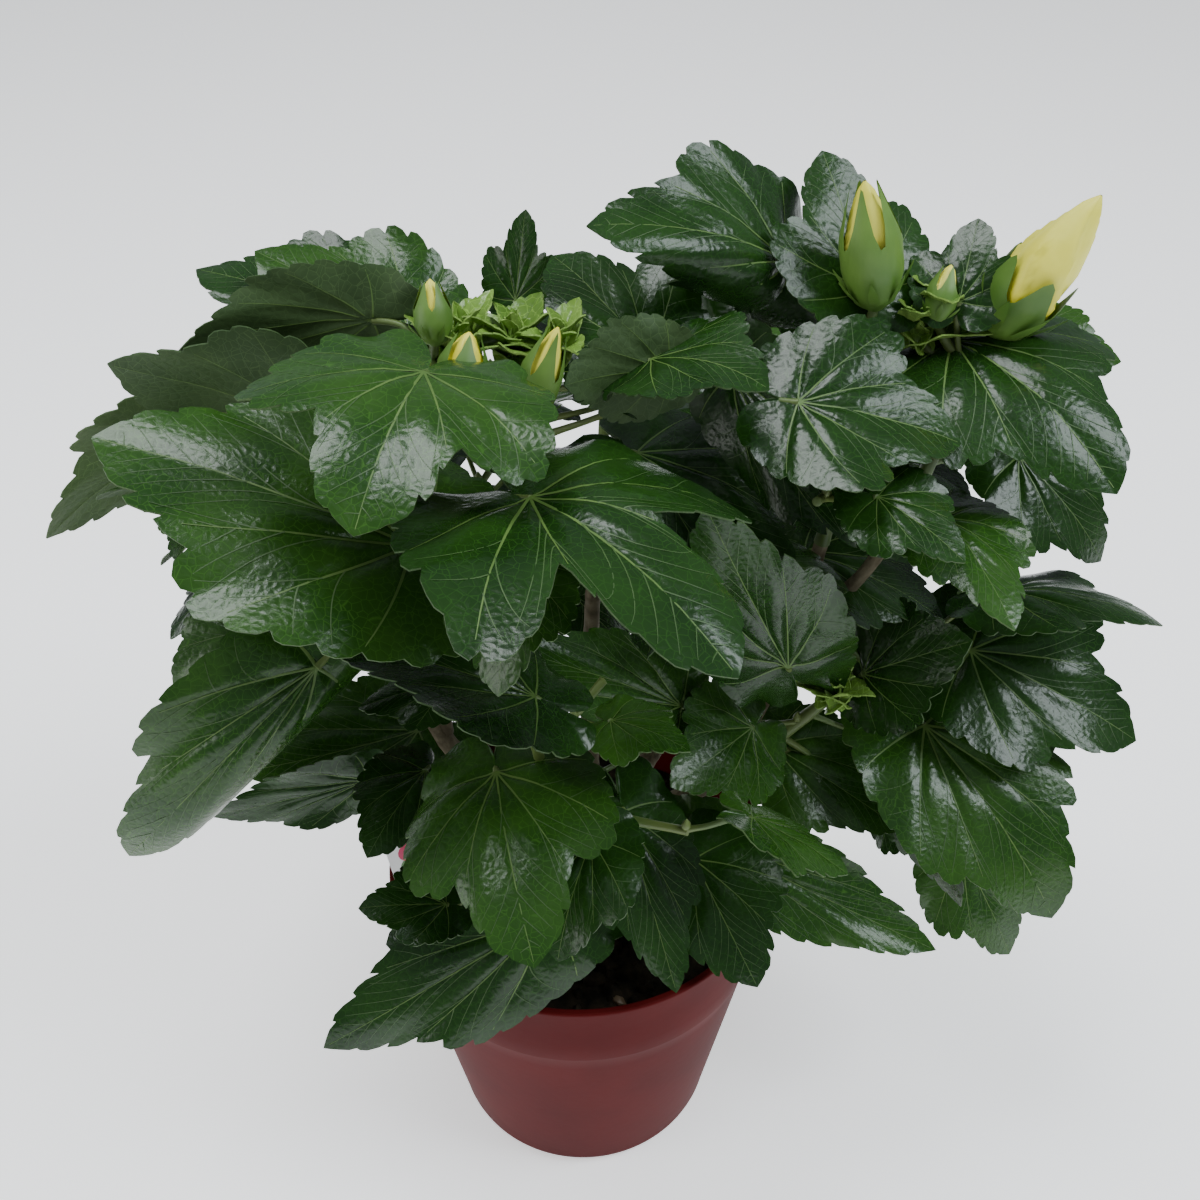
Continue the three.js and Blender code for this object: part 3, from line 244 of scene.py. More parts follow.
# ---- colours, as linear red, green, blue ----
LEAF_TINTS = dict(
    deep=((0.006, 0.026, 0.003), (0.012, 0.044, 0.005)),
    mid=((0.012, 0.046, 0.005), (0.024, 0.072, 0.008)),
    young=((0.110, 0.220, 0.030), (0.180, 0.310, 0.055)),
)
UNDER_TINTS = dict(
    deep=((0.030, 0.062, 0.018), (0.045, 0.082, 0.026)),
    mid=((0.038, 0.076, 0.020), (0.056, 0.098, 0.030)),
    young=((0.150, 0.260, 0.050), (0.210, 0.330, 0.070)),
)
OTHER_TINTS = dict(
    vein=((0.060, 0.125, 0.020), (0.090, 0.165, 0.030)),
    side_vein=((0.030, 0.075, 0.014), (0.045, 0.098, 0.020)),
    stalk=((0.060, 0.110, 0.022), (0.110, 0.150, 0.035)),
    calyx=((0.070, 0.160, 0.020), (0.120, 0.230, 0.035)),
    petal=((0.700, 0.640, 0.030), (0.840, 0.800, 0.120)),
    bark=((0.070, 0.055, 0.030), (0.170, 0.145, 0.090)),
    clay=((0.070, 0.0048, 0.0046), (0.088, 0.0070, 0.0066)),
    peat=((0.006, 0.005, 0.003), (0.030, 0.022, 0.012)),
    chaff=((0.060, 0.035, 0.018), (0.160, 0.110, 0.060)),
)
# Roughness, scales, relief and gloss of the materials that differ from the plain one.
FINISHES = dict(
    leaf=dict(roughness=0.25, scale=45, bump=0.16, bump_scale=650, specular=0.31),
    underside=dict(roughness=0.6, specular=0.25),
    peat=dict(roughness=0.95, scale=220, bump=0.8, bump_scale=700, specular=0.2),
    bark=dict(roughness=0.8, scale=180, bump=0.6, bump_scale=900, specular=0.3),
    clay=dict(scale=25, bump=0.08, bump_scale=300, specular=0.04),
    label=dict(roughness=0.3, bump=0.02),
    floor=dict(roughness=0.9, bump=0, specular=0.1),
)
LABEL_TINTS = dict(
    white=((0.78, 0.76, 0.76), (0.84, 0.82, 0.82)),
    purple=((0.10, 0.02, 0.09), (0.14, 0.03, 0.12)),
    crimson=((0.45, 0.02, 0.08), (0.55, 0.03, 0.11)),
    pink=((0.72, 0.22, 0.38), (0.80, 0.30, 0.46)),
    green=((0.05, 0.14, 0.03), (0.08, 0.20, 0.05)),
)


# ---- shapes held as arrays until each becomes one mesh ----
class Pile:
    """The corners and faces of one piece of the plant, as they gather."""

    def __init__(self):
        self.corners = []
        self.faces = []
        self.finishes = []
        self.count = 0

    def add(self, corners, *groups):
        """Each group is an array of faces over these corners, and the number of its material."""
        self.corners.append(np.asarray(corners, float))
        for faces, finish in groups:
            self.faces.append(faces + self.count)
            self.finishes.append(np.full(len(faces), finish))
        self.count += len(corners)

    def piece(self, name, materials, smooth_to=55):
        mesh = bpy.data.meshes.new(name)
        corners = np.concatenate(self.corners) * MM
        loops = np.concatenate([group.ravel() for group in self.faces])
        sizes = np.concatenate([np.full(len(group), group.shape[1]) for group in self.faces])
        mesh.vertices.add(len(corners))
        mesh.vertices.foreach_set("co", corners.ravel())
        mesh.loops.add(len(loops))
        mesh.loops.foreach_set("vertex_index", loops)
        mesh.polygons.add(len(sizes))
        mesh.polygons.foreach_set("loop_start", np.concatenate([[0], np.cumsum(sizes)[:-1]]))
        mesh.polygons.foreach_set("material_index", np.concatenate(self.finishes))
        mesh.polygons.foreach_set("use_smooth", np.ones(len(sizes), bool))
        mesh.update(calc_edges=True)
        mesh.validate()
        mesh.set_sharp_from_angle(angle=math.radians(smooth_to))
        for material in materials:
            mesh.materials.append(material)
        obj = bpy.data.objects.new(name, mesh)
        bpy.context.scene.collection.objects.link(obj)
        return obj


def unit(vector):
    return vector / np.linalg.norm(vector)


def turned(degrees, axis):
    return Matrix.Rotation(math.radians(degrees), 3, axis)


def seeded_random(seed):
    state = seed

    def draw():
        nonlocal state
        state = state * 16807 % 2147483647
        return state / 2147483647

    return draw


def on_path(path, share):
    """The point at a share of the way along a smooth path through a few points."""
    path = [np.asarray(stop, float) for stop in path]
    spans = len(path) - 1
    span = min(int(share * spans), spans - 1)
    t = share * spans - span
    start, end = path[span], path[span + 1]
    before = path[span - 1] if span > 0 else 2 * start - end
    after = path[span + 2] if span + 2 < len(path) else 2 * end - start
    return (
        before * (-t + 2 * t ** 2 - t ** 3)
        + start * (2 - 5 * t ** 2 + 3 * t ** 3)
        + end * (t + 4 * t ** 2 - 3 * t ** 3)
        + after * (-t ** 2 + t ** 3)
    ) / 2


def samples_of(path, count):
    return np.array([on_path(path, index / count) for index in range(count + 1)])


def strips(rings, around, closed=True):
    """The quads between rings of corners that follow one another."""
    last = around if closed else around - 1
    ring, side = np.meshgrid(np.arange(rings - 1), np.arange(last), indexing="ij")
    here = (ring * around + side).ravel()
    there = (ring * around + (side + 1) % around).ravel()
    return np.stack([here, there, there + around, here + around], -1)


def fans(first, sides, last_ring):
    """The triangles that close both ends of a round shape, whose two end points follow its rings."""
    side = np.arange(sides)
    beside = (side + 1) % sides
    low = np.stack([np.full(sides, first), beside, side], -1)
    high = np.stack([np.full(sides, first + 1), side + last_ring, beside + last_ring], -1)
    return low, high


def tube(pile, centres, radii, sides, finish=0):
    """A round limb with closed ends along a row of centres. radii may differ round each ring."""
    centres = np.asarray(centres, float)
    count = len(centres)
    radii = np.broadcast_to(np.reshape(radii, (count, -1)), (count, sides))
    ahead = np.gradient(centres, axis=0)
    ahead /= np.linalg.norm(ahead, axis=1, keepdims=True)
    across = np.cross(ahead[0], (0.3, -1, 0.1))
    rings = []
    for centre, along, radius in zip(centres, ahead, radii):
        across = unit(across - along * (across @ along))
        other = np.cross(along, across)
        turn = np.linspace(0, 2 * math.pi, sides, endpoint=False)
        level = np.outer(np.cos(turn) * radius, across) + np.outer(np.sin(turn) * radius, other)
        rings.append(centre + level)
    corners = np.concatenate([*rings, centres[:1] - ahead[:1] * radii[0, 0] * TUBE["bulge"],
                              centres[-1:] + ahead[-1:] * radii[-1, 0] * TUBE["bulge"]])
    low, high = fans(count * sides, sides, (count - 1) * sides)
    pile.add(corners, (strips(count, sides), finish), (low, finish), (high, finish))


# ---- leaf blades ----
def reach(degrees, lobing):
    away = np.abs(degrees)
    plain = np.interp(away, OUTLINE[:, 0], OUTLINE[:, 1])
    notch = LOBE["notch_depth"] * np.exp(-(((away - LOBE["notch"]) / LOBE["notch_span"]) ** 2))
    side = LOBE["side_reach"] * np.exp(-(((away - LOBE["side"]) / LOBE["side_span"]) ** 2))
    return plain * (1 + lobing * (side - notch))


def arc(length, start, bend):
    """How far a length gets, forward and up, that starts at an angle and turns by bend for each mm."""
    bend = np.where(np.abs(bend) < 1e-6, 1e-6, bend)
    end = start + bend * length
    return (np.sin(end) - np.sin(start)) / bend, (np.cos(start) - np.cos(end)) / bend


class Leaf:
    """A blade with its place: the head of its petiole, the way it faces, and its bends."""

    def __init__(self, row, seed):
        x, y, z, turn, rise, roll, self.long, self.wide, self.fold, self.droop = row[:10]
        self.curl_left, self.curl_right, self.lobing, self.wave = row[10:]
        self.head = np.array([x, y, z], float)
        self.facing = np.array(turned(turn, "Z") @ turned(-rise, "Y") @ turned(roll, "X"))
        self.seed = seed
        self.foot = None
        self.tint = "deep"

    def surface(self, ahead, aside, relief=0.0):
        """The points of the blade over places in its own plane, in lengths of the blade."""
        angle = np.arctan2(aside, ahead)
        out = np.hypot(ahead, aside)
        share = out / reach(np.degrees(angle), self.lobing)
        along = ahead * self.long
        across = aside * self.long * self.wide / OUTLINE_WIDTH
        bend = -math.radians(self.droop) / self.long
        forward, sunk = arc(np.maximum(along, 0), 0, bend)
        curl = np.radians(np.where(across >= 0, self.curl_left, self.curl_right))
        curl = curl / (self.long * self.wide * 0.5)
        side, lift = arc(np.abs(across), math.radians(self.fold), curl)
        rise = lift + self.wave * share * out * np.sin(3 * angle + self.seed) + relief
        slope = bend * np.maximum(along, 0)
        local = np.stack([
            forward + np.minimum(along, 0) - np.sin(slope) * rise,
            np.sign(across) * side,
            sunk + np.cos(slope) * rise,
        ], -1)
        return local @ self.facing.T + self.head

    def point(self, degrees, share):
        out = share * reach(degrees, self.lobing)
        return self.surface(out * np.cos(np.radians(degrees)), out * np.sin(np.radians(degrees)))

    def feelers(self):
        """Points all over the blade, to tell how near it comes to others."""
        half = OUTLINE[:, 0]
        rays = np.concatenate([half, -half[1:-1][::-1]])
        shares, degrees = np.meshgrid(FEELER_SHARES, rays, indexing="ij")
        return np.vstack([self.head, self.point(degrees.ravel(), shares.ravel())])

    def stalk_points(self):
        """Points along the stalk, clear of the stem and of the blade."""
        return np.array([self.foot + (self.head - self.foot) * share for share in STALK["probes"]])


def vein_lines(leaf):
    """The ribs of a blade: places along each in polar form, and its half width from foot to tip."""
    steps = np.linspace(0, 1, RIB["steps"] + 1)
    lines = []
    for turn in RIB_TURNS:
        end = VEIN_END["midrib"] if turn == 0 else VEIN_END["rib"]
        lines.append((turn * (1 - VEIN_PULL * steps), steps * end, RIB["foot"], RIB["tip"]))
    sides = []
    for at in MIDRIB_VEINS["places"]:
        lean = MIDRIB_VEINS["lean"] * (1 - at)
        sides += [(0, at, lean), (0, at + MIDRIB_VEINS["stagger"], -lean)]
    for sign in (1, -1):
        for rib, lean, places in SIDE_VEINS:
            sides += [(rib * sign, at, lean * (1 - at) * sign) for at in places]
    for turn, at, lean in sides:
        start = turn * (1 - VEIN_PULL * at)
        shares = at + (VEIN_END["side"] - at) * steps
        turns = start + lean * (1.25 * steps - 0.25 * steps ** 2)
        lines.append((turns, shares, RIB["side_foot"], RIB["side_tip"]))
    return lines


def on_plane(degrees, out):
    """Places ahead and aside in a blade's plane, from degrees off its midrib and how far out."""
    turns = np.radians(degrees)
    return np.stack([out * np.cos(turns), out * np.sin(turns)], -1)


def margin_rays(leaf, count):
    """Degrees of the rays that reach each valley and tip of the teeth, and how far out they stand."""
    table = np.linspace(0, 180, 361)
    out = reach(table, leaf.lobing)
    edge = on_plane(table, out) * (1, leaf.wide)
    run = np.concatenate([[0], np.cumsum(np.linalg.norm(np.diff(edge, axis=0), axis=1))])
    drawn = np.random.default_rng(leaf.seed * 31 + 7)
    halves = []
    for _ in (0, 1):
        place = (np.arange(count)[:, None] + np.array(TEETH["places"])) / count
        shift = drawn.uniform(-TEETH["shift"], TEETH["shift"], (count, len(TEETH["places"]) - 1))
        place[:, 1:] += shift / count
        height = np.array(TEETH["heights"]) * drawn.uniform(*TEETH["vary"], (count, 1)) * TEETH["deep"]
        degrees = np.interp(place.ravel() * run[-1], run, table)
        rise = np.clip((degrees - TEETH["first"]) / TEETH["first_fade"], 0, 1)
        fall = np.clip((TEETH["last"] + TEETH["last_fade"] - degrees) / TEETH["last_fade"], 0, 1)
        fade = rise * fall
        halves.append((np.append(degrees, 180), np.append(height.ravel() * fade, 0)))
    (left, left_height), (right, right_height) = halves
    return (np.concatenate([left, -right[1:-1][::-1]]),
            np.concatenate([left_height, right_height[1:-1][::-1]]))


def grid_normals(corners, triangles):
    normals = np.zeros_like(corners)
    a, b, c = (corners[triangles[:, index]] for index in range(3))
    face = np.cross(b - a, c - a)
    for index in range(3):
        np.add.at(normals, triangles[:, index], face)
    return normals / np.maximum(np.linalg.norm(normals, axis=1, keepdims=True), 1e-9)


def add_blade(pile, ribs, leaf, tints, teeth=TEETH["count"], rings=BLADE_RINGS):
    """A leaf as a closed thin shell, with its ribs on both sides."""
    degrees, height = margin_rays(leaf, teeth)
    rays = len(degrees)
    shares = np.linspace(0, 1, rings + 1)[1:, None]
    out = shares * reach(degrees, leaf.lobing) * (1 + height * shares ** 5)
    ahead = out * np.cos(np.radians(degrees))
    aside = out * np.sin(np.radians(degrees))
    lines = vein_lines(leaf) if rings > YOUNG["rings"] else vein_lines(leaf)[:5]

    flat = np.stack([ahead, aside], -1).reshape(-1, 2)
    groove = np.zeros(len(flat))
    close = np.linspace(0, 1, 3 * RIB["steps"])
    for turns, places, foot, _ in lines:
        steps = np.linspace(0, 1, len(turns))
        close_turns, close_places = np.interp(close, steps, turns), np.interp(close, steps, places)
        vein = on_plane(close_turns, close_places * reach(close_turns, leaf.lobing))
        away = np.min(np.linalg.norm(flat[:, None] - vein[None], axis=2), axis=1)
        depth = GROOVE["least"] + (1 - GROOVE["least"]) * foot / RIB["foot"]
        groove = np.maximum(groove, depth * np.exp(-((away / GROOVE["wide"]) ** 2)))
    swell = (np.sin(RIPPLE["ahead"] * flat[:, 0] + leaf.seed)
             * np.sin(RIPPLE["aside"] * flat[:, 1] + 2 * leaf.seed))
    near_edge = np.repeat(shares[:, 0], rays)
    turns = RUFFLE["turns"] * np.tile(np.radians(degrees), rings)
    second = RUFFLE["second_high"] * np.sin(RUFFLE["second"] * turns + leaf.seed)
    ruffle = np.sin(turns + 2 * leaf.seed) + second
    fade_out = np.minimum(1, 1.6 * (1.08 - near_edge))  # the relief fades towards the margin
    relief = (RIPPLE["high"] * swell - GROOVE["deep"] * groove) * fade_out
    relief = ((relief + RUFFLE["high"] * ruffle * near_edge ** 4) * leaf.long).reshape(rings, rays)

    places = leaf.surface(ahead, aside, relief).reshape(-1, 3)
    sheet = np.vstack([leaf.surface(np.zeros(1), np.zeros(1)), places])
    side = np.arange(rays)
    beside = (side + 1) % rays
    heart = np.stack([np.zeros(rays, int), 1 + side, 1 + beside], -1)
    quads = strips(rings, rays)[:, [0, 3, 2, 1]] + 1
    triangles = np.vstack([heart, quads[:, [0, 1, 2]], quads[:, [0, 2, 3]]])
    normals = grid_normals(sheet, triangles)
    half = BLADE_THICK / 2
    top, under = tints
    count = len(sheet)
    rim = np.stack([side, beside, beside + count, side + count], -1) + 1 + (rings - 1) * rays
    pile.add(
        np.vstack([sheet + normals * half, sheet - normals * half]),
        (heart, top), (quads, top),
        (heart[:, ::-1] + count, under), (quads[:, ::-1] + count, under), (rim[:, ::-1], under))
    add_ribs(ribs, leaf, lines, degrees, shares[:, 0], relief, half)


def add_ribs(pile, leaf, lines, degrees, shares, relief, half):
    """Ribbons with a raised middle along each rib, on the top and the underside."""
    order = np.argsort(degrees)
    table = np.hstack([relief[:, order], relief[:, order][:, :1]])
    turns_table = np.append(degrees[order], degrees[order][0] + 360)

    def height_at(turns, places):
        column = np.interp(turns, turns_table, np.arange(len(turns_table)))
        row = np.clip(places * len(shares) - 1, 0, len(shares) - 1)
        low_row, low_column = np.floor(row).astype(int), np.floor(column).astype(int)
        high_row = np.minimum(low_row + 1, len(shares) - 1)
        high_column = np.minimum(low_column + 1, table.shape[1] - 1)
        by_row, by_column = row - low_row, column - low_column
        near = table[low_row, low_column] * (1 - by_column) + table[low_row, high_column] * by_column
        far = table[high_row, low_column] * (1 - by_column) + table[high_row, high_column] * by_column
        return (near * (1 - by_row) + far * by_row) * np.minimum(1, places * len(shares))

    for turns, places, foot, tip in lines:
        out = places * reach(turns, leaf.lobing)
        line = on_plane(turns, out)
        heading = np.gradient(line, axis=0)
        heading /= np.linalg.norm(heading, axis=1, keepdims=True)
        aside = np.stack([-heading[:, 1], heading[:, 0]], -1)
        wide = np.linspace(foot, tip, len(line))[:, None]
        for sign in (1, -1):
            rows = []
            for across, above in ((-1, 0.3), (0, 1), (1, 0.3)):
                spot = line + aside * wide * across
                spot_turns = np.degrees(np.arctan2(spot[:, 1], spot[:, 0]))
                spot_places = np.hypot(spot[:, 0], spot[:, 1]) / reach(spot_turns, leaf.lobing)
                bump = (half + RIB["above"] + above * wide[:, 0] * leaf.long * 0.35) * sign
                rows.append(leaf.surface(spot[:, 0], spot[:, 1], height_at(spot_turns, spot_places) + bump))
            faces = strips(3, len(line), closed=False)
            if sign > 0:
                faces = faces[:, ::-1]
            pile.add(np.concatenate(rows), (faces, int(foot < RIB["foot"])))


# ---- growth, by the same rule as the source ----
def nearest(places, target):
    return int(np.argmin(np.linalg.norm(places - target, axis=1)))


def towards(degrees, climb):
    """A way level 1 out at degrees round from +X, climbing by so much."""
    return np.array([math.cos(math.radians(degrees)), math.sin(math.radians(degrees)), climb])


def seat_stalks(stem, leaves):
    """Each stalk leaves the stem from a place of its own, below its blade."""
    places = samples_of(stem, len(leaves) + 3)[1:]
    for leaf in leaves:
        level = math.hypot(*(leaf.head - stem[0])[:2])
        number = nearest(places, leaf.head - (0, 0, level * STALK["ease"]))
        leaf.foot = places[number]
        places = np.delete(places, number, axis=0)


def grow_tuft(row, stem, seed):
    x, y, z, count, long = row
    end = np.array([x, y, z], float)
    stops = samples_of(stem, 12)
    twig = [stops[nearest(stops, end - (0, 0, TUFT["drop"]))], end]
    leaves = []
    for index in range(count):
        up = index / count
        turn = seed * TUFT["turn"] + index * GOLDEN_TURN
        foot = on_path(twig, 1 - TUFT["along"] * (1 - up))
        rise = TUFT["rise"][0] + (TUFT["rise"][1] - TUFT["rise"][0]) * up
        shape = (long * (1 - TUFT["shrink"] * up), YOUNG_WIDE, *TUFT["shape"])
        leaves.append(Leaf((*foot, turn, rise, 0, *shape), seed + index))
    return twig, leaves


def inside_crown(places):
    level = (((places - CROWN["centre"]) / CROWN["radii"]) ** 2).sum(axis=1)
    in_pot = np.hypot(places[:, 0], places[:, 1]) < OVER_POT["radius"]
    return (level < 1) & ~(in_pot & (places[:, 2] < OVER_POT["height"]))


def is_near(places, others, room):
    gaps = ((places[:, None] - others[None]) ** 2).sum(axis=2)
    return (gaps < room * room).any(axis=1)


def settle(leaf, taken):
    """A measured leaf keeps its place, or makes way by as little as clears it best."""
    home = leaf.head.copy()
    line = unit(home - BEFORE)
    fewest, best = math.inf, home
    for step in MAKE_WAY:
        leaf.head = home + line * step
        crossed = int(is_near(leaf.feelers(), taken, CROSSING).sum())
        if crossed < fewest:
            fewest, best = crossed, leaf.head
    leaf.head = best


def grow_twigs(mass, seed, taken):
    random = seeded_random(seed * 977 + 11)
    crowd = TWIGS["among"] if mass["leaves"] else 1

    def spread(middle, span):
        return middle + span * (random() - 0.5)

    grown = []
    for index in range(mass["twigs"]):
        up = (index + 0.5) / mass["twigs"]

        def between(ends):
            return ends[0] + (ends[1] - ends[0]) * up

        turn = seed * TWIGS["turn"] + index * GOLDEN_TURN
        foot = on_path(mass["stem"], TWIGS["start"] + up * (1 - TWIGS["start"]))
        length = between(TWIGS["long"])
        tip = foot + unit(towards(turn, between(TWIGS["climb"]))) * length
        middle = (foot + tip) / 2
        middle[2] -= length * TWIGS["sag"]
        twig = [foot, middle, tip]
        if is_near(np.array([on_path(twig, at) for at in (0.4, 0.6, 0.8, 1)]), taken, CROSSING).any():
            continue
        leaves = []
        for number, place in enumerate(TWIGS["leaves"]):
            vary = TWIGS["vary"]
            heading = turn + spread(place["aside"], vary["aside"])
            rise = spread(between(TWIGS["rise"]), vary["rise"])
            long = between(TWIGS["leaf"]) * place["size"] * crowd * spread(1, vary["long"])
            roll = spread(0, vary["roll"])
            start = on_path(twig, place["at"])
            head = start + towards(heading, TWIGS["stalk_climb"]) * between(TWIGS["stalk"])
            stalk = np.array([start + (head - start) * share for share in (0.4, 0.7)])
            if is_near(stalk, taken, CROSSING).any():
                continue
            shape = (TWIGS["wide"], TWIGS["fold"], between(TWIGS["droop"]), TWIGS["curl"], TWIGS["curl"],
                     TWIGS["lobing"], TWIGS["wave"])
            for size in TWIGS["sizes"]:
                leaf = Leaf((*head, heading, rise, roll, long * size, *shape), seed + index + number)
                leaf.foot = start
                feelers = leaf.feelers()
                if inside_crown(feelers).all() and not is_near(feelers, taken, LEAF_ROOM).any():
                    leaves.append(leaf)
                    taken = np.vstack([taken, feelers])
                    break
        if leaves:
            grown.append((twig, leaves))
            taken = np.vstack([taken, samples_of(twig, 6)[1:], *[leaf.stalk_points() for leaf in leaves]])
    return grown, taken


def grow_foliage():
    taken = np.vstack([samples_of(bough["path"], 16) for bough in BOUGHS])
    for index, mass in enumerate(MASSES):
        mass["on_stem"] = [Leaf(row, index + number) for number, row in enumerate(mass["leaves"])]
        for leaf in mass["on_stem"]:
            settle(leaf, taken)
            taken = np.vstack([taken, leaf.feelers()])
        mass["tufts_grown"] = [grow_tuft(row, mass["stem"], index) for row in mass["tufts"]]
        for _, leaves in mass["tufts_grown"]:
            taken = np.vstack([taken, *[leaf.point(np.zeros(1), 0.6) for leaf in leaves]])
    for mass in MASSES:
        seat_stalks(mass["stem"], mass["on_stem"])
        stalks = [leaf.stalk_points() for leaf in mass["on_stem"]]
        taken = np.vstack([taken, samples_of(mass["stem"], 12), *stalks])
    for index, mass in enumerate(MASSES):
        mass["twigs_grown"], taken = grow_twigs(mass, index + 1, taken)


# ---- what each mass is made of ----
LEAF_FINISHES = [*LEAF_TINTS, *(f"{name}_under" for name in UNDER_TINTS)]


def tints_of(leaf):
    return LEAF_FINISHES.index(leaf.tint), LEAF_FINISHES.index(leaf.tint + "_under")


def add_stalk(stalks, leaf):
    """A petiole from its place on the stem, bending up to the head of its blade from underneath."""
    ahead, up = leaf.facing[:, 0], leaf.facing[:, 2]
    neck = leaf.head - ahead * leaf.long * STALK["neck"] - up * STALK["drop"]
    middle = (leaf.foot + neck) / 2 - (0, 0, PETIOLE["sag"] * np.linalg.norm(neck - leaf.foot))
    centres = samples_of([leaf.foot, middle, neck, leaf.head - up * BLADE_THICK], TUBE["steps"] + 2)
    along = np.linspace(0, 1, len(centres))
    foot = PETIOLE["foot"] * np.exp(-along * PETIOLE["foot_fade"])
    head = PETIOLE["head"] * np.exp(-(1 - along) * PETIOLE["head_fade"])
    tube(stalks, centres, PETIOLE["radius"] + foot + head, PETIOLE["sides"])
    add_axil_bud(stalks, leaf.foot, unit(middle - leaf.foot))


def add_axil_bud(pile, foot, heading):
    rises = np.linspace(0, AXIL_BUD["high"], len(AXIL_BUD["radii"]))[:, None]
    centres = foot + heading * AXIL_BUD["out"] + np.array([0, 0, 1.0]) * rises
    tube(pile, centres, AXIL_BUD["radii"], PETIOLE["sides"])


def add_twig(stalks, path, thick, thin):
    centres = samples_of(path, TUBE["steps"])
    along = np.linspace(0, 1, len(centres))
    knots = 1 + KNOTS["high"] * np.cos(along * 2 * KNOTS["count"] * math.pi) ** KNOTS["sharp"]
    tube(stalks, centres, (thick + (thin - thick) * along) * knots, TUBE["sides"])


def add_bud(buds, stalks, row, stem, seed):
    """A furled bud: petals rolled round each other, held by a calyx and a ring of narrow bracts."""
    x, y, z, turn, rise, long, wide = row
    foot = np.array([x, y, z], float)
    facing = np.array(turned(turn, "Z") @ turned(90 - rise, "Y"))
    stops = samples_of(stem, 12)
    start = stops[nearest(stops, foot)]
    tube(stalks, samples_of([start, (start + foot) / 2 + (0, 0, -1.5), foot + facing[:, 2]], 6),
         np.linspace(TWIG["thick"], TWIG["thin"] * 1.1, 7), 8)
    rings, sides = BUD["rings"], BUD["sides"]
    along = np.linspace(0, 1, rings)[:, None]
    around = np.linspace(0, 2 * math.pi, sides, endpoint=False)
    egg = np.interp(along, *PETAL_PROFILE)
    fold = ((5 * around / (2 * math.pi) + 1.5 * along + 0.13 * seed) % 1) ** 1.6
    radius = egg * (0.88 + 0.2 * fold) * wide
    petals = np.stack([radius * np.cos(around), radius * np.sin(around),
                       np.broadcast_to(along * long, radius.shape)], -1).reshape(-1, 3)
    buds.add(petals @ facing.T + foot, (strips(rings, sides), 1))
    sepals = np.linspace(0, 1, BUD["sepal_rings"])[:, None]
    share = BUD["sepals"] if long > BUD["large"] else BUD["small_sepals"]
    point_out = 0.5 + 0.5 * np.cos(5 * around + seed)
    reach_up = sepals * (0.34 + 0.28 * point_out) * share / 0.62
    cup = np.interp(reach_up, *CUP_PROFILE) * wide * 1.02
    height = reach_up * long * 1.05 - 0.4
    calyx = np.stack([cup * np.cos(around), cup * np.sin(around), height], -1).reshape(-1, 3)
    buds.add(calyx @ facing.T + foot, (strips(BUD["sepal_rings"], sides), 0))
    for bract in range(BUD["bracts"]):
        angle = bract * 2 * math.pi / BUD["bracts"] + seed
        run = np.linspace(0, 1, 7)
        centre = np.stack([wide * (0.16 + 0.55 * run ** 0.7), np.zeros(7), long * (0.02 + 0.3 * run)], -1)
        half = wide * 0.09 * np.sin(math.pi * np.minimum(run * 0.9 + 0.08, 1))
        aside = np.array([0, 1, 0]) * half[:, None]
        spin = np.array(Matrix.Rotation(angle, 3, "Z"))
        lift = np.array([0, 0, 0.35])
        blade = np.concatenate([centre - aside, centre + lift, centre + aside, centre - lift]) @ spin.T
        rounds = strips(4, 7, closed=False)
        last = np.stack([np.arange(6) + 21, np.arange(6), np.arange(1, 7), np.arange(1, 7) + 21], -1)
        buds.add(blade @ facing.T + foot, (rounds, 0), (last[:, ::-1], 0))


def dress_mass(mass, number, finishes):
    blades, ribs, young, stalks, buds = Pile(), Pile(), Pile(), Pile(), Pile()
    drawn = np.random.default_rng(number + 40)
    add_twig(stalks, mass["stem"], STEM["thick"], STEM["thin"])
    sprays = [(mass["stem"], mass["on_stem"]), *mass["twigs_grown"]]
    for path, leaves in sprays:
        if path is not mass["stem"]:
            add_twig(stalks, path, TWIG["thick"], TWIG["thin"])
        for leaf in leaves:
            add_stalk(stalks, leaf)
            leaf.tint = drawn.choice(["deep", "deep", "mid"])
            add_blade(blades, ribs, leaf, tints_of(leaf))
    for row in mass["buds"]:
        add_bud(buds, stalks, row, mass["stem"], number)
    for twig, leaves in mass["tufts_grown"]:
        add_twig(stalks, twig, TWIG["thick"], TWIG["thin"] * 0.7)
        for leaf in leaves:
            leaf.tint = "young"
            leaf.wide *= YOUNG["narrow"]
            add_blade(young, ribs, leaf, tints_of(leaf), YOUNG["teeth"], YOUNG["rings"])
            for extra in range(YOUNG["more"]):
                head = leaf.head + (0, 0, YOUNG["above"] * (1 + extra))
                long = leaf.long * (YOUNG["first"] - YOUNG["shrink"] * extra)
                small = Leaf((*head, 0, 0, 0, long, *YOUNG_SHAPE), leaf.seed + extra)
                spin, tip_up = turned(70 + 100 * extra, "Z"), turned(-YOUNG["tip_up"], "Y")
                small.facing = np.array(spin) @ leaf.facing @ np.array(tip_up)
                small.tint = "young"
                add_blade(young, ribs, small, tints_of(small), YOUNG["teeth"], YOUNG["rings"])
    made = [("leaves", blades, finishes["leaves"]),
            ("leaf_ribs", ribs, [finishes["vein"], finishes["side_vein"]]),
            ("young_leaves", young, finishes["leaves"]), ("stalks", stalks, [finishes["stalk"]]),
            ("buds", buds, [finishes["calyx"], finishes["petal"]])]
    for kind, pile, materials in made:
        if pile.count:
            obj = pile.piece(mass["name"].replace("foliage", kind), materials)
            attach(obj, "root")
            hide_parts(mass["name"])


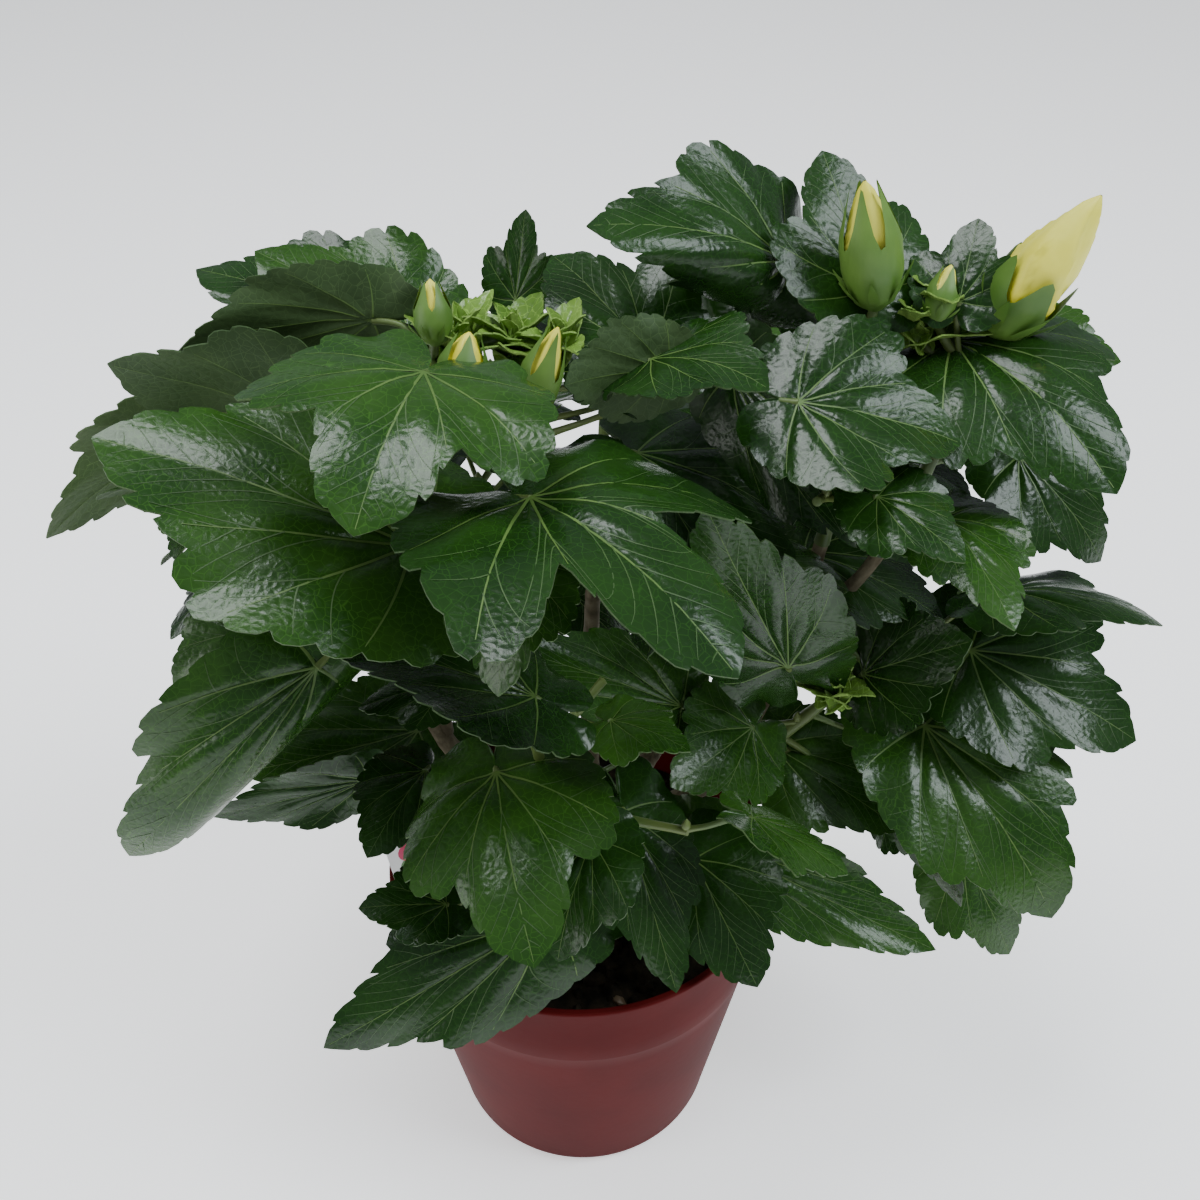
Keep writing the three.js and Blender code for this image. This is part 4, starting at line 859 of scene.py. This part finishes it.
# ---- trunk and boughs ----
def add_bark_limb(pile, path, thick, thin, seed, sides=18, flare=None):
    """A limb with ridges along it and scars where leaves have fallen."""
    run = np.linalg.norm(np.diff(samples_of(path, 20), axis=0), axis=1).sum()
    steps = max(8, int(run / BARK["ring"]))
    centres = samples_of(path, steps)
    along = np.linspace(0, 1, steps + 1)
    around = np.linspace(0, 2 * math.pi, sides, endpoint=False)
    plain = thick + (thin - thick) * along
    if flare:
        above = np.linalg.norm(centres - centres[0], axis=1)
        plain = plain * (1 + flare["spread"] * np.exp(-above / flare["height"]))
    drawn = np.random.default_rng(seed + 5)
    ridges = (0.035 * np.sin(5 * around + 3 * along[:, None] + seed)
              + 0.03 * np.sin(9 * around - 7 * along[:, None]))
    rough = drawn.normal(0, BARK["rough"], (steps + 1, sides))
    scars = np.zeros((steps + 1, sides))
    for index, at in enumerate(np.arange(BARK["first_scar"], run - 4, BARK["scar_gap"]) / run):
        turn = math.radians(seed * 40 + index * GOLDEN_TURN)
        beside = np.angle(np.exp(1j * (around - turn)))
        scars += 0.22 * np.exp(-((along[:, None] - at) * run / 1.8) ** 2 - (beside / 0.7) ** 2)
        scars += 0.06 * np.exp(-((along[:, None] - at) * run / 1.2) ** 2)
    tube(pile, centres, plain[:, None] * (1 + ridges + rough + scars), sides)


def dress_limbs(finish):
    pile = Pile()
    add_bark_limb(pile, TRUNK["path"], TRUNK["thick"], TRUNK["thin"], 1, sides=30, flare=ROOT_FLARE)
    for number, bough in enumerate(BOUGHS):
        add_bark_limb(pile, bough["path"], bough["thick"], bough["thin"], number + 2)
    obj = pile.piece("bark_of_trunk_and_boughs", [finish])
    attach(obj, "root")
    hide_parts("trunk", *[bough["name"] for bough in BOUGHS])


# ---- pot ----
def lathe(profile, sides):
    """A round solid about +Z, from a profile of (radius, height) that starts and ends on the axis."""
    profile = np.array(profile, float)
    inner = profile[1:-1]
    around = np.linspace(0, 2 * math.pi, sides, endpoint=False)
    rings = np.stack([
        inner[:, :1] * np.cos(around), inner[:, :1] * np.sin(around),
        np.broadcast_to(inner[:, 1:], (len(inner), sides))], -1).reshape(-1, 3)
    ends = np.array([(0, 0, profile[0, 1]), (0, 0, profile[-1, 1])])
    low, high = fans(len(rings), sides, (len(inner) - 1) * sides)
    pile = Pile()
    pile.add(np.vstack([rings, ends]), (strips(len(inner), sides), 0), (low, 0), (high, 0))
    return pile


def outer_radius(height):
    band, low = POT["band"], POT["band_low"]
    return band + (POT["rim"] - band) * (height - low) / (POT["height"] - low)


def inner_radius(height):
    lip = POT["rim"] - POT["wall"] - RIM_ROLL["bead"]
    side = POT["band"] - POT["wall"]
    low = POT["band_low"]
    return side + (lip - side) * (height - low) / (POT["height"] - RIM_ROLL["inside"] - low)


def cut_out(obj, cutter):
    """Cuts one object's shape out of another for good."""
    cut = obj.modifiers.new("cut", "BOOLEAN")
    cut.operation = "DIFFERENCE"
    cut.object = cutter
    graph = bpy.context.evaluated_depsgraph_get()
    mesh = bpy.data.meshes.new_from_object(obj.evaluated_get(graph))
    obj.modifiers.clear()
    obj.data = mesh
    bpy.data.objects.remove(cutter)


def block(size, centre, turn):
    """A box's corners and faces, turned about +Z after it is put in place."""
    ends = (-0.5, 0.5)
    corners = np.array([(x, y, z) for x in ends for y in ends for z in ends]) * size + centre
    faces = np.array([(0, 1, 3, 2), (4, 6, 7, 5), (0, 4, 5, 1), (2, 3, 7, 6), (0, 2, 6, 4), (1, 5, 7, 3)])
    return corners @ np.array(turned(turn, "Z")).T, faces


def dress_pot(finish):
    height, rim, band, base = POT["height"], POT["rim"], POT["band"], POT["base"]
    foot = [(base - POT["base_round"] * (1 - math.sin(turn)), POT["base_round"] * (1 - math.cos(turn)))
            for turn in np.linspace(0, math.pi / 2, 9)]
    bead = [(rim - RIM_ROLL["bead"] + RIM_ROLL["bead"] * math.cos(turn), height - 0.9 + 0.9 * math.sin(turn))
            for turn in np.linspace(0, math.pi / 2, 6)]
    lip = rim - POT["wall"] - RIM_ROLL["bead"]
    lip_foot = height - RIM_ROLL["inside"]
    inside = [(lip + 0.7, height), (lip + 0.2, height - 0.5), (inner_radius(lip_foot), lip_foot),
              (inner_radius(POT["band_low"]), POT["band_low"]), (base - POT["wall"], POT["base_round"]),
              (base - POT["base_round"], POT["floor"])]
    side_wide, side_high = band - POT["step"] - base, POT["band_low"] - 1 - POT["base_round"]
    low_side = [(base + side_wide * share, POT["base_round"] + side_high * share)
                for share in np.linspace(0.02, 1, 12)]
    band_step = [(band - 0.9, POT["band_low"] - 0.5), (band - 0.2, POT["band_low"]),
                 (band, POT["band_low"] + 0.6)]
    band_side = [(outer_radius(level), level) for level in (98, 106, height - RIM_ROLL["outside"])]
    profile = [(0, 0), *foot, *low_side, *band_step, *band_side, *bead, *inside, (0, POT["floor"])]
    shell = lathe(profile, POT_SIDES).piece("pot_shell", [finish], smooth_to=32)
    cuts = Pile()
    for index in range(NOTCH["count"]):
        corners, faces = block((NOTCH["deep"] * 2, NOTCH["wide"], NOTCH["high"] * 2), (base, 0, 0),
                               NOTCH["turn"] + index * 360 / NOTCH["count"])
        cuts.add(corners, (faces, 0))
    for index in range(DRAIN["count"]):
        turn = index * 2 * math.pi / DRAIN["count"]
        centre = np.array([DRAIN["ring"] * math.cos(turn), DRAIN["ring"] * math.sin(turn), 0])
        reach_through = (0, 0, 6)
        tube(cuts, [centre - reach_through, centre, centre + reach_through], [DRAIN["radius"]] * 3, 32)
    cut_out(shell, cuts.piece("pot_cuts", []))
    shell.data.set_sharp_from_angle(angle=math.radians(32))
    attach(shell, "root")
    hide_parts("pot")


# ---- soil ----
def lumps(places, sizes, seed, pile, finish_of):
    """Small irregular lumps, each a squashed ball with its corners pushed about."""
    drawn = np.random.default_rng(seed)
    rings, sides = len(LUMP["tilts"]), LUMP["sides"]
    turn = np.linspace(0, 2 * math.pi, sides, endpoint=False)
    tilt = np.array(LUMP["tilts"]) * math.pi / 180
    ball = np.array([(math.cos(t) * math.cos(a), math.cos(t) * math.sin(a), math.sin(t))
                     for t in tilt for a in turn])
    ball = np.vstack([ball, (0, 0, -1), (0, 0, 1)])
    low, high = fans(rings * sides, sides, (rings - 1) * sides)
    for place, size in zip(places, sizes):
        dents = drawn.uniform(*LUMP["dents"], (len(ball), 1))
        rough = ball * dents * size * drawn.uniform(*LUMP["squash"], 3)
        level_turn = Matrix.Rotation(drawn.uniform(0, 6.3), 3, "Z")
        spin = np.array(level_turn @ Matrix.Rotation(drawn.uniform(0, 1.5), 3, "X"))
        finish = finish_of(drawn)
        pile.add(rough @ spin.T + place, (strips(rings, sides), finish), (low, finish), (high, finish))


def dress_soil(peat, chaff):
    edge = SOIL["top"] - SOIL["heap"]
    wide = inner_radius(edge) - 0.3
    rings = np.linspace(wide, 1.5, 46)
    top = [(radius, SOIL["top"] - SOIL["heap"] * (radius / wide) ** 3) for radius in rings]
    low, gap = POT["base"], 0.3
    profile = [(0, POT["floor"] + gap), (low - POT["base_round"] - gap, POT["floor"] + gap),
               (low - POT["wall"] - gap, POT["base_round"] + gap),
               (inner_radius(POT["band_low"]) - gap, POT["band_low"]), *top, (0, SOIL["top"])]
    pile = lathe(profile, 150)
    corners = pile.corners[0]
    for index, corner in enumerate(corners):
        radius = math.hypot(corner[0], corner[1])
        if corner[2] > edge - 0.01 and radius < wide - 0.5:
            (wide_scale, wide_high), (close_scale, close_high) = SOIL_NOISE
            lump = (noise.noise(Vector(corner) * wide_scale) * wide_high
                    + noise.noise(Vector(corner) * close_scale) * close_high)
            corners[index, 2] += lump + noise.noise(Vector(corner) * SOIL_GRAIN[0]) * SOIL_GRAIN[1]
    soil = pile.piece("soil_bed", [peat], smooth_to=70)
    drawn = np.random.default_rng(12)
    count = CRUMBS["count"]
    radius = wide * np.sqrt(drawn.uniform(0, 0.96, count))
    turn = drawn.uniform(0, 2 * math.pi, count)
    level = SOIL["top"] - SOIL["heap"] * (radius / wide) ** 3 + drawn.uniform(-0.4, 0.9, count)
    places = np.stack([radius * np.cos(turn), radius * np.sin(turn), level], -1)
    crumbs = Pile()
    sizes = drawn.gamma(CRUMBS["shape"], CRUMBS["size"], count) + CRUMBS["least"]
    lumps(places, sizes, 9, crumbs, lambda draw: int(draw.uniform() > CRUMBS["chaff"]))
    bits = crumbs.piece("soil_crumbs", [peat, chaff], smooth_to=60)
    for obj in (soil, bits):
        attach(obj, "root")
        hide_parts("soil")


# ---- plant label ----
def label_frame():
    up = unit(np.array(LABEL_RISE, float))
    facing = np.array([math.cos(math.radians(LABEL_FACE)), math.sin(math.radians(LABEL_FACE)), 0])
    across = unit(np.cross(up, facing))
    return np.stack([across, up, np.cross(across, up)], -1)


def plate(pile, outline, low, high, finish):
    """A flat plate of an outline in the label's own plane, between two heights over its middle."""
    count = len(outline)
    flat = np.array(outline, float)
    under = np.column_stack([flat, np.full(count, low)])
    over = np.column_stack([flat, np.full(count, high)])
    middle = flat.mean(axis=0)
    ends = np.array([(*middle, low), (*middle, high)])
    side = np.arange(count)
    beside = (side + 1) % count
    walls = np.stack([side, beside, beside + count, side + count], -1)
    back = np.stack([np.full(count, 2 * count), beside, side], -1)
    front = np.stack([np.full(count, 2 * count + 1), side + count, beside + count], -1)
    corners = np.vstack([under, over, ends]) @ label_frame().T + LABEL_FOOT
    pile.add(corners, (walls, finish), (back, finish), (front, finish))


def round_corner(centre, radius, start):
    turns = np.radians(np.linspace(start, start + 90, 6))
    return [(centre[0] + radius * math.cos(turn), centre[1] + radius * math.sin(turn)) for turn in turns]


def petal_outline(centre, turn, long, wide):
    run = np.linspace(0, 2 * math.pi, 20, endpoint=False)
    along = long * (0.5 - 0.5 * np.cos(run))
    aside = wide * np.sin(run) * (0.6 + 0.4 * (along / long))
    heading = math.radians(turn)
    return np.stack([centre[0] + along * math.cos(heading) - aside * math.sin(heading),
                     centre[1] + along * math.sin(heading) + aside * math.cos(heading)], -1)


def dress_label(colours):
    half, corner, shoulder = LABEL["wide"] / 2, LABEL["corner"], LABEL["spike"] + LABEL["shoulder"]
    top = shoulder + LABEL["body"]
    spike, thick = LABEL["spike_wide"] / 2, LABEL["thick"] / 2
    body = [(half, shoulder), *round_corner((half - corner, top - corner), corner, 0),
            *round_corner((corner - half, top - corner), corner, 90), (-half, shoulder)]
    board = Pile()
    plate(board, [(0, 0), (spike, LABEL["point"]), (spike, LABEL["spike"]), *body, (-spike, LABEL["spike"]),
                  (-spike, LABEL["point"])], -thick, thick, 0)
    obj = board.piece("label_board", [colours["white"]], smooth_to=30)
    print_layer = Pile()
    inset = 0.6
    bands = [(1, 9, 1), (9.4, 14, 2), (14.4, 16.6, 3)]
    for low, high, finish in bands:
        low, high = shoulder + low, shoulder + high
        corners = [(inset - half, low), (half - inset, low), (half - inset, high), (inset - half, high)]
        plate(print_layer, corners, thick, thick + INK, finish)
    rose = (1.5, shoulder + 29)
    for petal in range(5):
        outline = petal_outline(rose, 90 + petal * 72, 9.6, 4.6)
        plate(print_layer, outline, thick, thick + INK + petal * 0.012, 3 - petal % 2)
    plate(print_layer, petal_outline((rose[0] - 1.8, rose[1]), 0, 3.6, 1.8), thick, thick + 0.16, 1)
    plate(print_layer, petal_outline((-8.5, shoulder + 20), 70, 9, 2), thick, thick + INK, 4)
    inks = [colours[name] for name in ("white", "purple", "crimson", "pink", "green")]
    art = print_layer.piece("label_print", inks)
    for piece in (obj, art):
        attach(piece, "root")
        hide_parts("plant_label")


# ---- materials ----
def set_inputs(node, values):
    for name, value in values.items():
        node.inputs[name].default_value = value


def procedural(name, colours, roughness=0.5, scale=60, bump=0.1, bump_scale=400, specular=0.5):
    """Two near colours mixed by noise, with a fine relief."""
    material = bpy.data.materials.new(name)
    material.use_nodes = True
    nodes, links = material.node_tree.nodes, material.node_tree.links
    shader = nodes["Principled BSDF"]
    set_inputs(shader, {"Roughness": roughness, "Specular IOR Level": specular})
    place = nodes.new("ShaderNodeTexCoord")
    mottle = nodes.new("ShaderNodeTexNoise")
    set_inputs(mottle, {"Scale": scale, "Detail": 3})
    ramp = nodes.new("ShaderNodeValToRGB")
    ramp.color_ramp.elements[0].position = 0.36
    ramp.color_ramp.elements[1].position = 0.64
    ramp.color_ramp.elements[0].color = (*colours[0], 1)
    ramp.color_ramp.elements[1].color = (*colours[1], 1)
    grain = nodes.new("ShaderNodeTexNoise")
    set_inputs(grain, {"Scale": bump_scale, "Detail": 4})
    relief = nodes.new("ShaderNodeBump")
    set_inputs(relief, {"Strength": bump, "Distance": GRAIN_HIGH})
    links.new(place.outputs["Object"], mottle.inputs["Vector"])
    links.new(place.outputs["Object"], grain.inputs["Vector"])
    links.new(mottle.outputs["Fac"], ramp.inputs["Fac"])
    links.new(ramp.outputs["Color"], shader.inputs["Base Color"])
    links.new(grain.outputs["Fac"], relief.inputs["Height"])
    links.new(relief.outputs["Normal"], shader.inputs["Normal"])
    return material


def add_network(material, tint):
    """The fine net of veins in a leaf: thin sunk lines between small raised cells."""
    nodes, links = material.node_tree.nodes, material.node_tree.links
    shader = nodes["Principled BSDF"]
    place = next(node for node in nodes if node.type == "TEX_COORD")
    cells = nodes.new("ShaderNodeTexVoronoi")
    cells.feature = "DISTANCE_TO_EDGE"
    cells.inputs["Scale"].default_value = NETWORK["scale"]
    thin = nodes.new("ShaderNodeMapRange")
    thin.inputs["From Max"].default_value = NETWORK["line"]
    dome = nodes.new("ShaderNodeMapRange")
    dome.inputs["From Max"].default_value = NETWORK["dome"]
    dome.interpolation_type = "SMOOTHSTEP"
    mix = nodes.new("ShaderNodeMixRGB")
    mix.inputs["Color1"].default_value = (*tint, 1)
    mottled = shader.inputs["Base Color"].links[0].from_socket
    raised = nodes.new("ShaderNodeBump")
    set_inputs(raised, {"Strength": NETWORK["strength"], "Distance": NETWORK["high"]})
    grain = shader.inputs["Normal"].links[0].from_socket
    links.new(place.outputs["Object"], cells.inputs["Vector"])
    links.new(cells.outputs["Distance"], thin.inputs["Value"])
    links.new(cells.outputs["Distance"], dome.inputs["Value"])
    links.new(thin.outputs["Result"], mix.inputs["Fac"])
    links.new(mottled, mix.inputs["Color2"])
    links.new(mix.outputs["Color"], shader.inputs["Base Color"])
    links.new(dome.outputs["Result"], raised.inputs["Height"])
    links.new(grain, raised.inputs["Normal"])
    links.new(raised.outputs["Normal"], shader.inputs["Normal"])
    return material


def make_finishes():
    leaves = []
    for name, pair in LEAF_TINTS.items():
        top = procedural(f"leaf_{name}", pair, **FINISHES["leaf"])
        leaves.append(add_network(top, [NETWORK["top_tint"] * part for part in pair[1]]))
    for name, pair in UNDER_TINTS.items():
        under = procedural(f"leaf_{name}_under", pair, **FINISHES["underside"])
        leaves.append(add_network(under, [NETWORK["under_tint"] * part for part in pair[1]]))
    made = {name: procedural(name, pair, **FINISHES.get(name, {})) for name, pair in OTHER_TINTS.items()}
    made["leaves"] = leaves
    return made


def label_colours():
    return {name: procedural(f"label_{name}", pair, **FINISHES["label"])
            for name, pair in LABEL_TINTS.items()}


# ---- the set: floor, light and camera ----
EYE = np.array([0, -285.3, 443.3])
LOOK = np.array([0.0197, 0.7951, -0.6062])
ACROSS = np.array([0.9996, -0.0276, -0.0037])
LENS = 37.13
FLOOR = (0.95, 0.95, 0.95)
FLOOR_GLOW = 0.75
FLOOR_HALF = 3000
SKY = dict(colour=(0.85, 0.92, 1, 1), strength=0.32)
# Name, place in metres, size in metres, power in watts, colour. Each looks at AIM.
LIGHTS = [
    ("window", (1.0, -0.35, 1.45), 0.8, 20, (0.88, 0.95, 1)),
    ("overhead", (-0.35, 0.1, 1.8), 0.8, 21, (0.94, 0.97, 1)),
    ("side", (-1.3, -0.4, 0.6), 0.8, 7, (1, 0.99, 0.97)),
]
AIM = Vector((0, 0, 0.2))


def add_camera():
    camera = bpy.data.objects.new("camera", bpy.data.cameras.new("camera"))
    camera.data.lens = LENS
    camera.data.sensor_width = 36
    camera.data.clip_start = 0.01
    across = unit(ACROSS - LOOK * (ACROSS @ LOOK) / (LOOK @ LOOK))
    back = -unit(LOOK)
    turn = Matrix(np.stack([across, np.cross(back, across), back], -1).tolist())
    camera.matrix_world = Matrix.Translation(Vector(EYE * MM)) @ turn.to_4x4()
    bpy.context.scene.collection.objects.link(camera)
    bpy.context.scene.camera = camera


def add_light(name, place, size, power, colour):
    data = bpy.data.lights.new(name, "AREA")
    data.shape = "DISK"
    data.size = size
    data.energy = power
    data.color = colour
    light = bpy.data.objects.new(name, data)
    light.location = place
    light.rotation_euler = (AIM - Vector(place)).to_track_quat("-Z", "Y").to_euler()
    bpy.context.scene.collection.objects.link(light)


def add_set():
    world = bpy.data.worlds.new("studio")
    bpy.context.scene.world = world
    world.use_nodes = True
    sky = world.node_tree.nodes["Background"]
    set_inputs(sky, {"Color": SKY["colour"], "Strength": SKY["strength"]})
    for light in LIGHTS:
        add_light(*light)
    floor = Pile()
    floor.add(np.array([(-1, -1, 0), (1, -1, 0), (1, 1, 0), (-1, 1, 0)]) * FLOOR_HALF,
              (np.array([(0, 1, 2, 3)]), 0))
    pale = procedural("floor", (FLOOR, FLOOR), **FINISHES["floor"])
    set_inputs(pale.node_tree.nodes["Principled BSDF"],
               {"Emission Color": (1, 1, 1, 1), "Emission Strength": FLOOR_GLOW})
    floor.piece("floor", [pale])


grow_foliage()
finishes = make_finishes()
for number, mass in enumerate(MASSES):
    dress_mass(mass, number, finishes)
dress_limbs(finishes["bark"])
dress_pot(finishes["clay"])
dress_soil(finishes["peat"], finishes["chaff"])
dress_label(label_colours())
add_set()
add_camera()
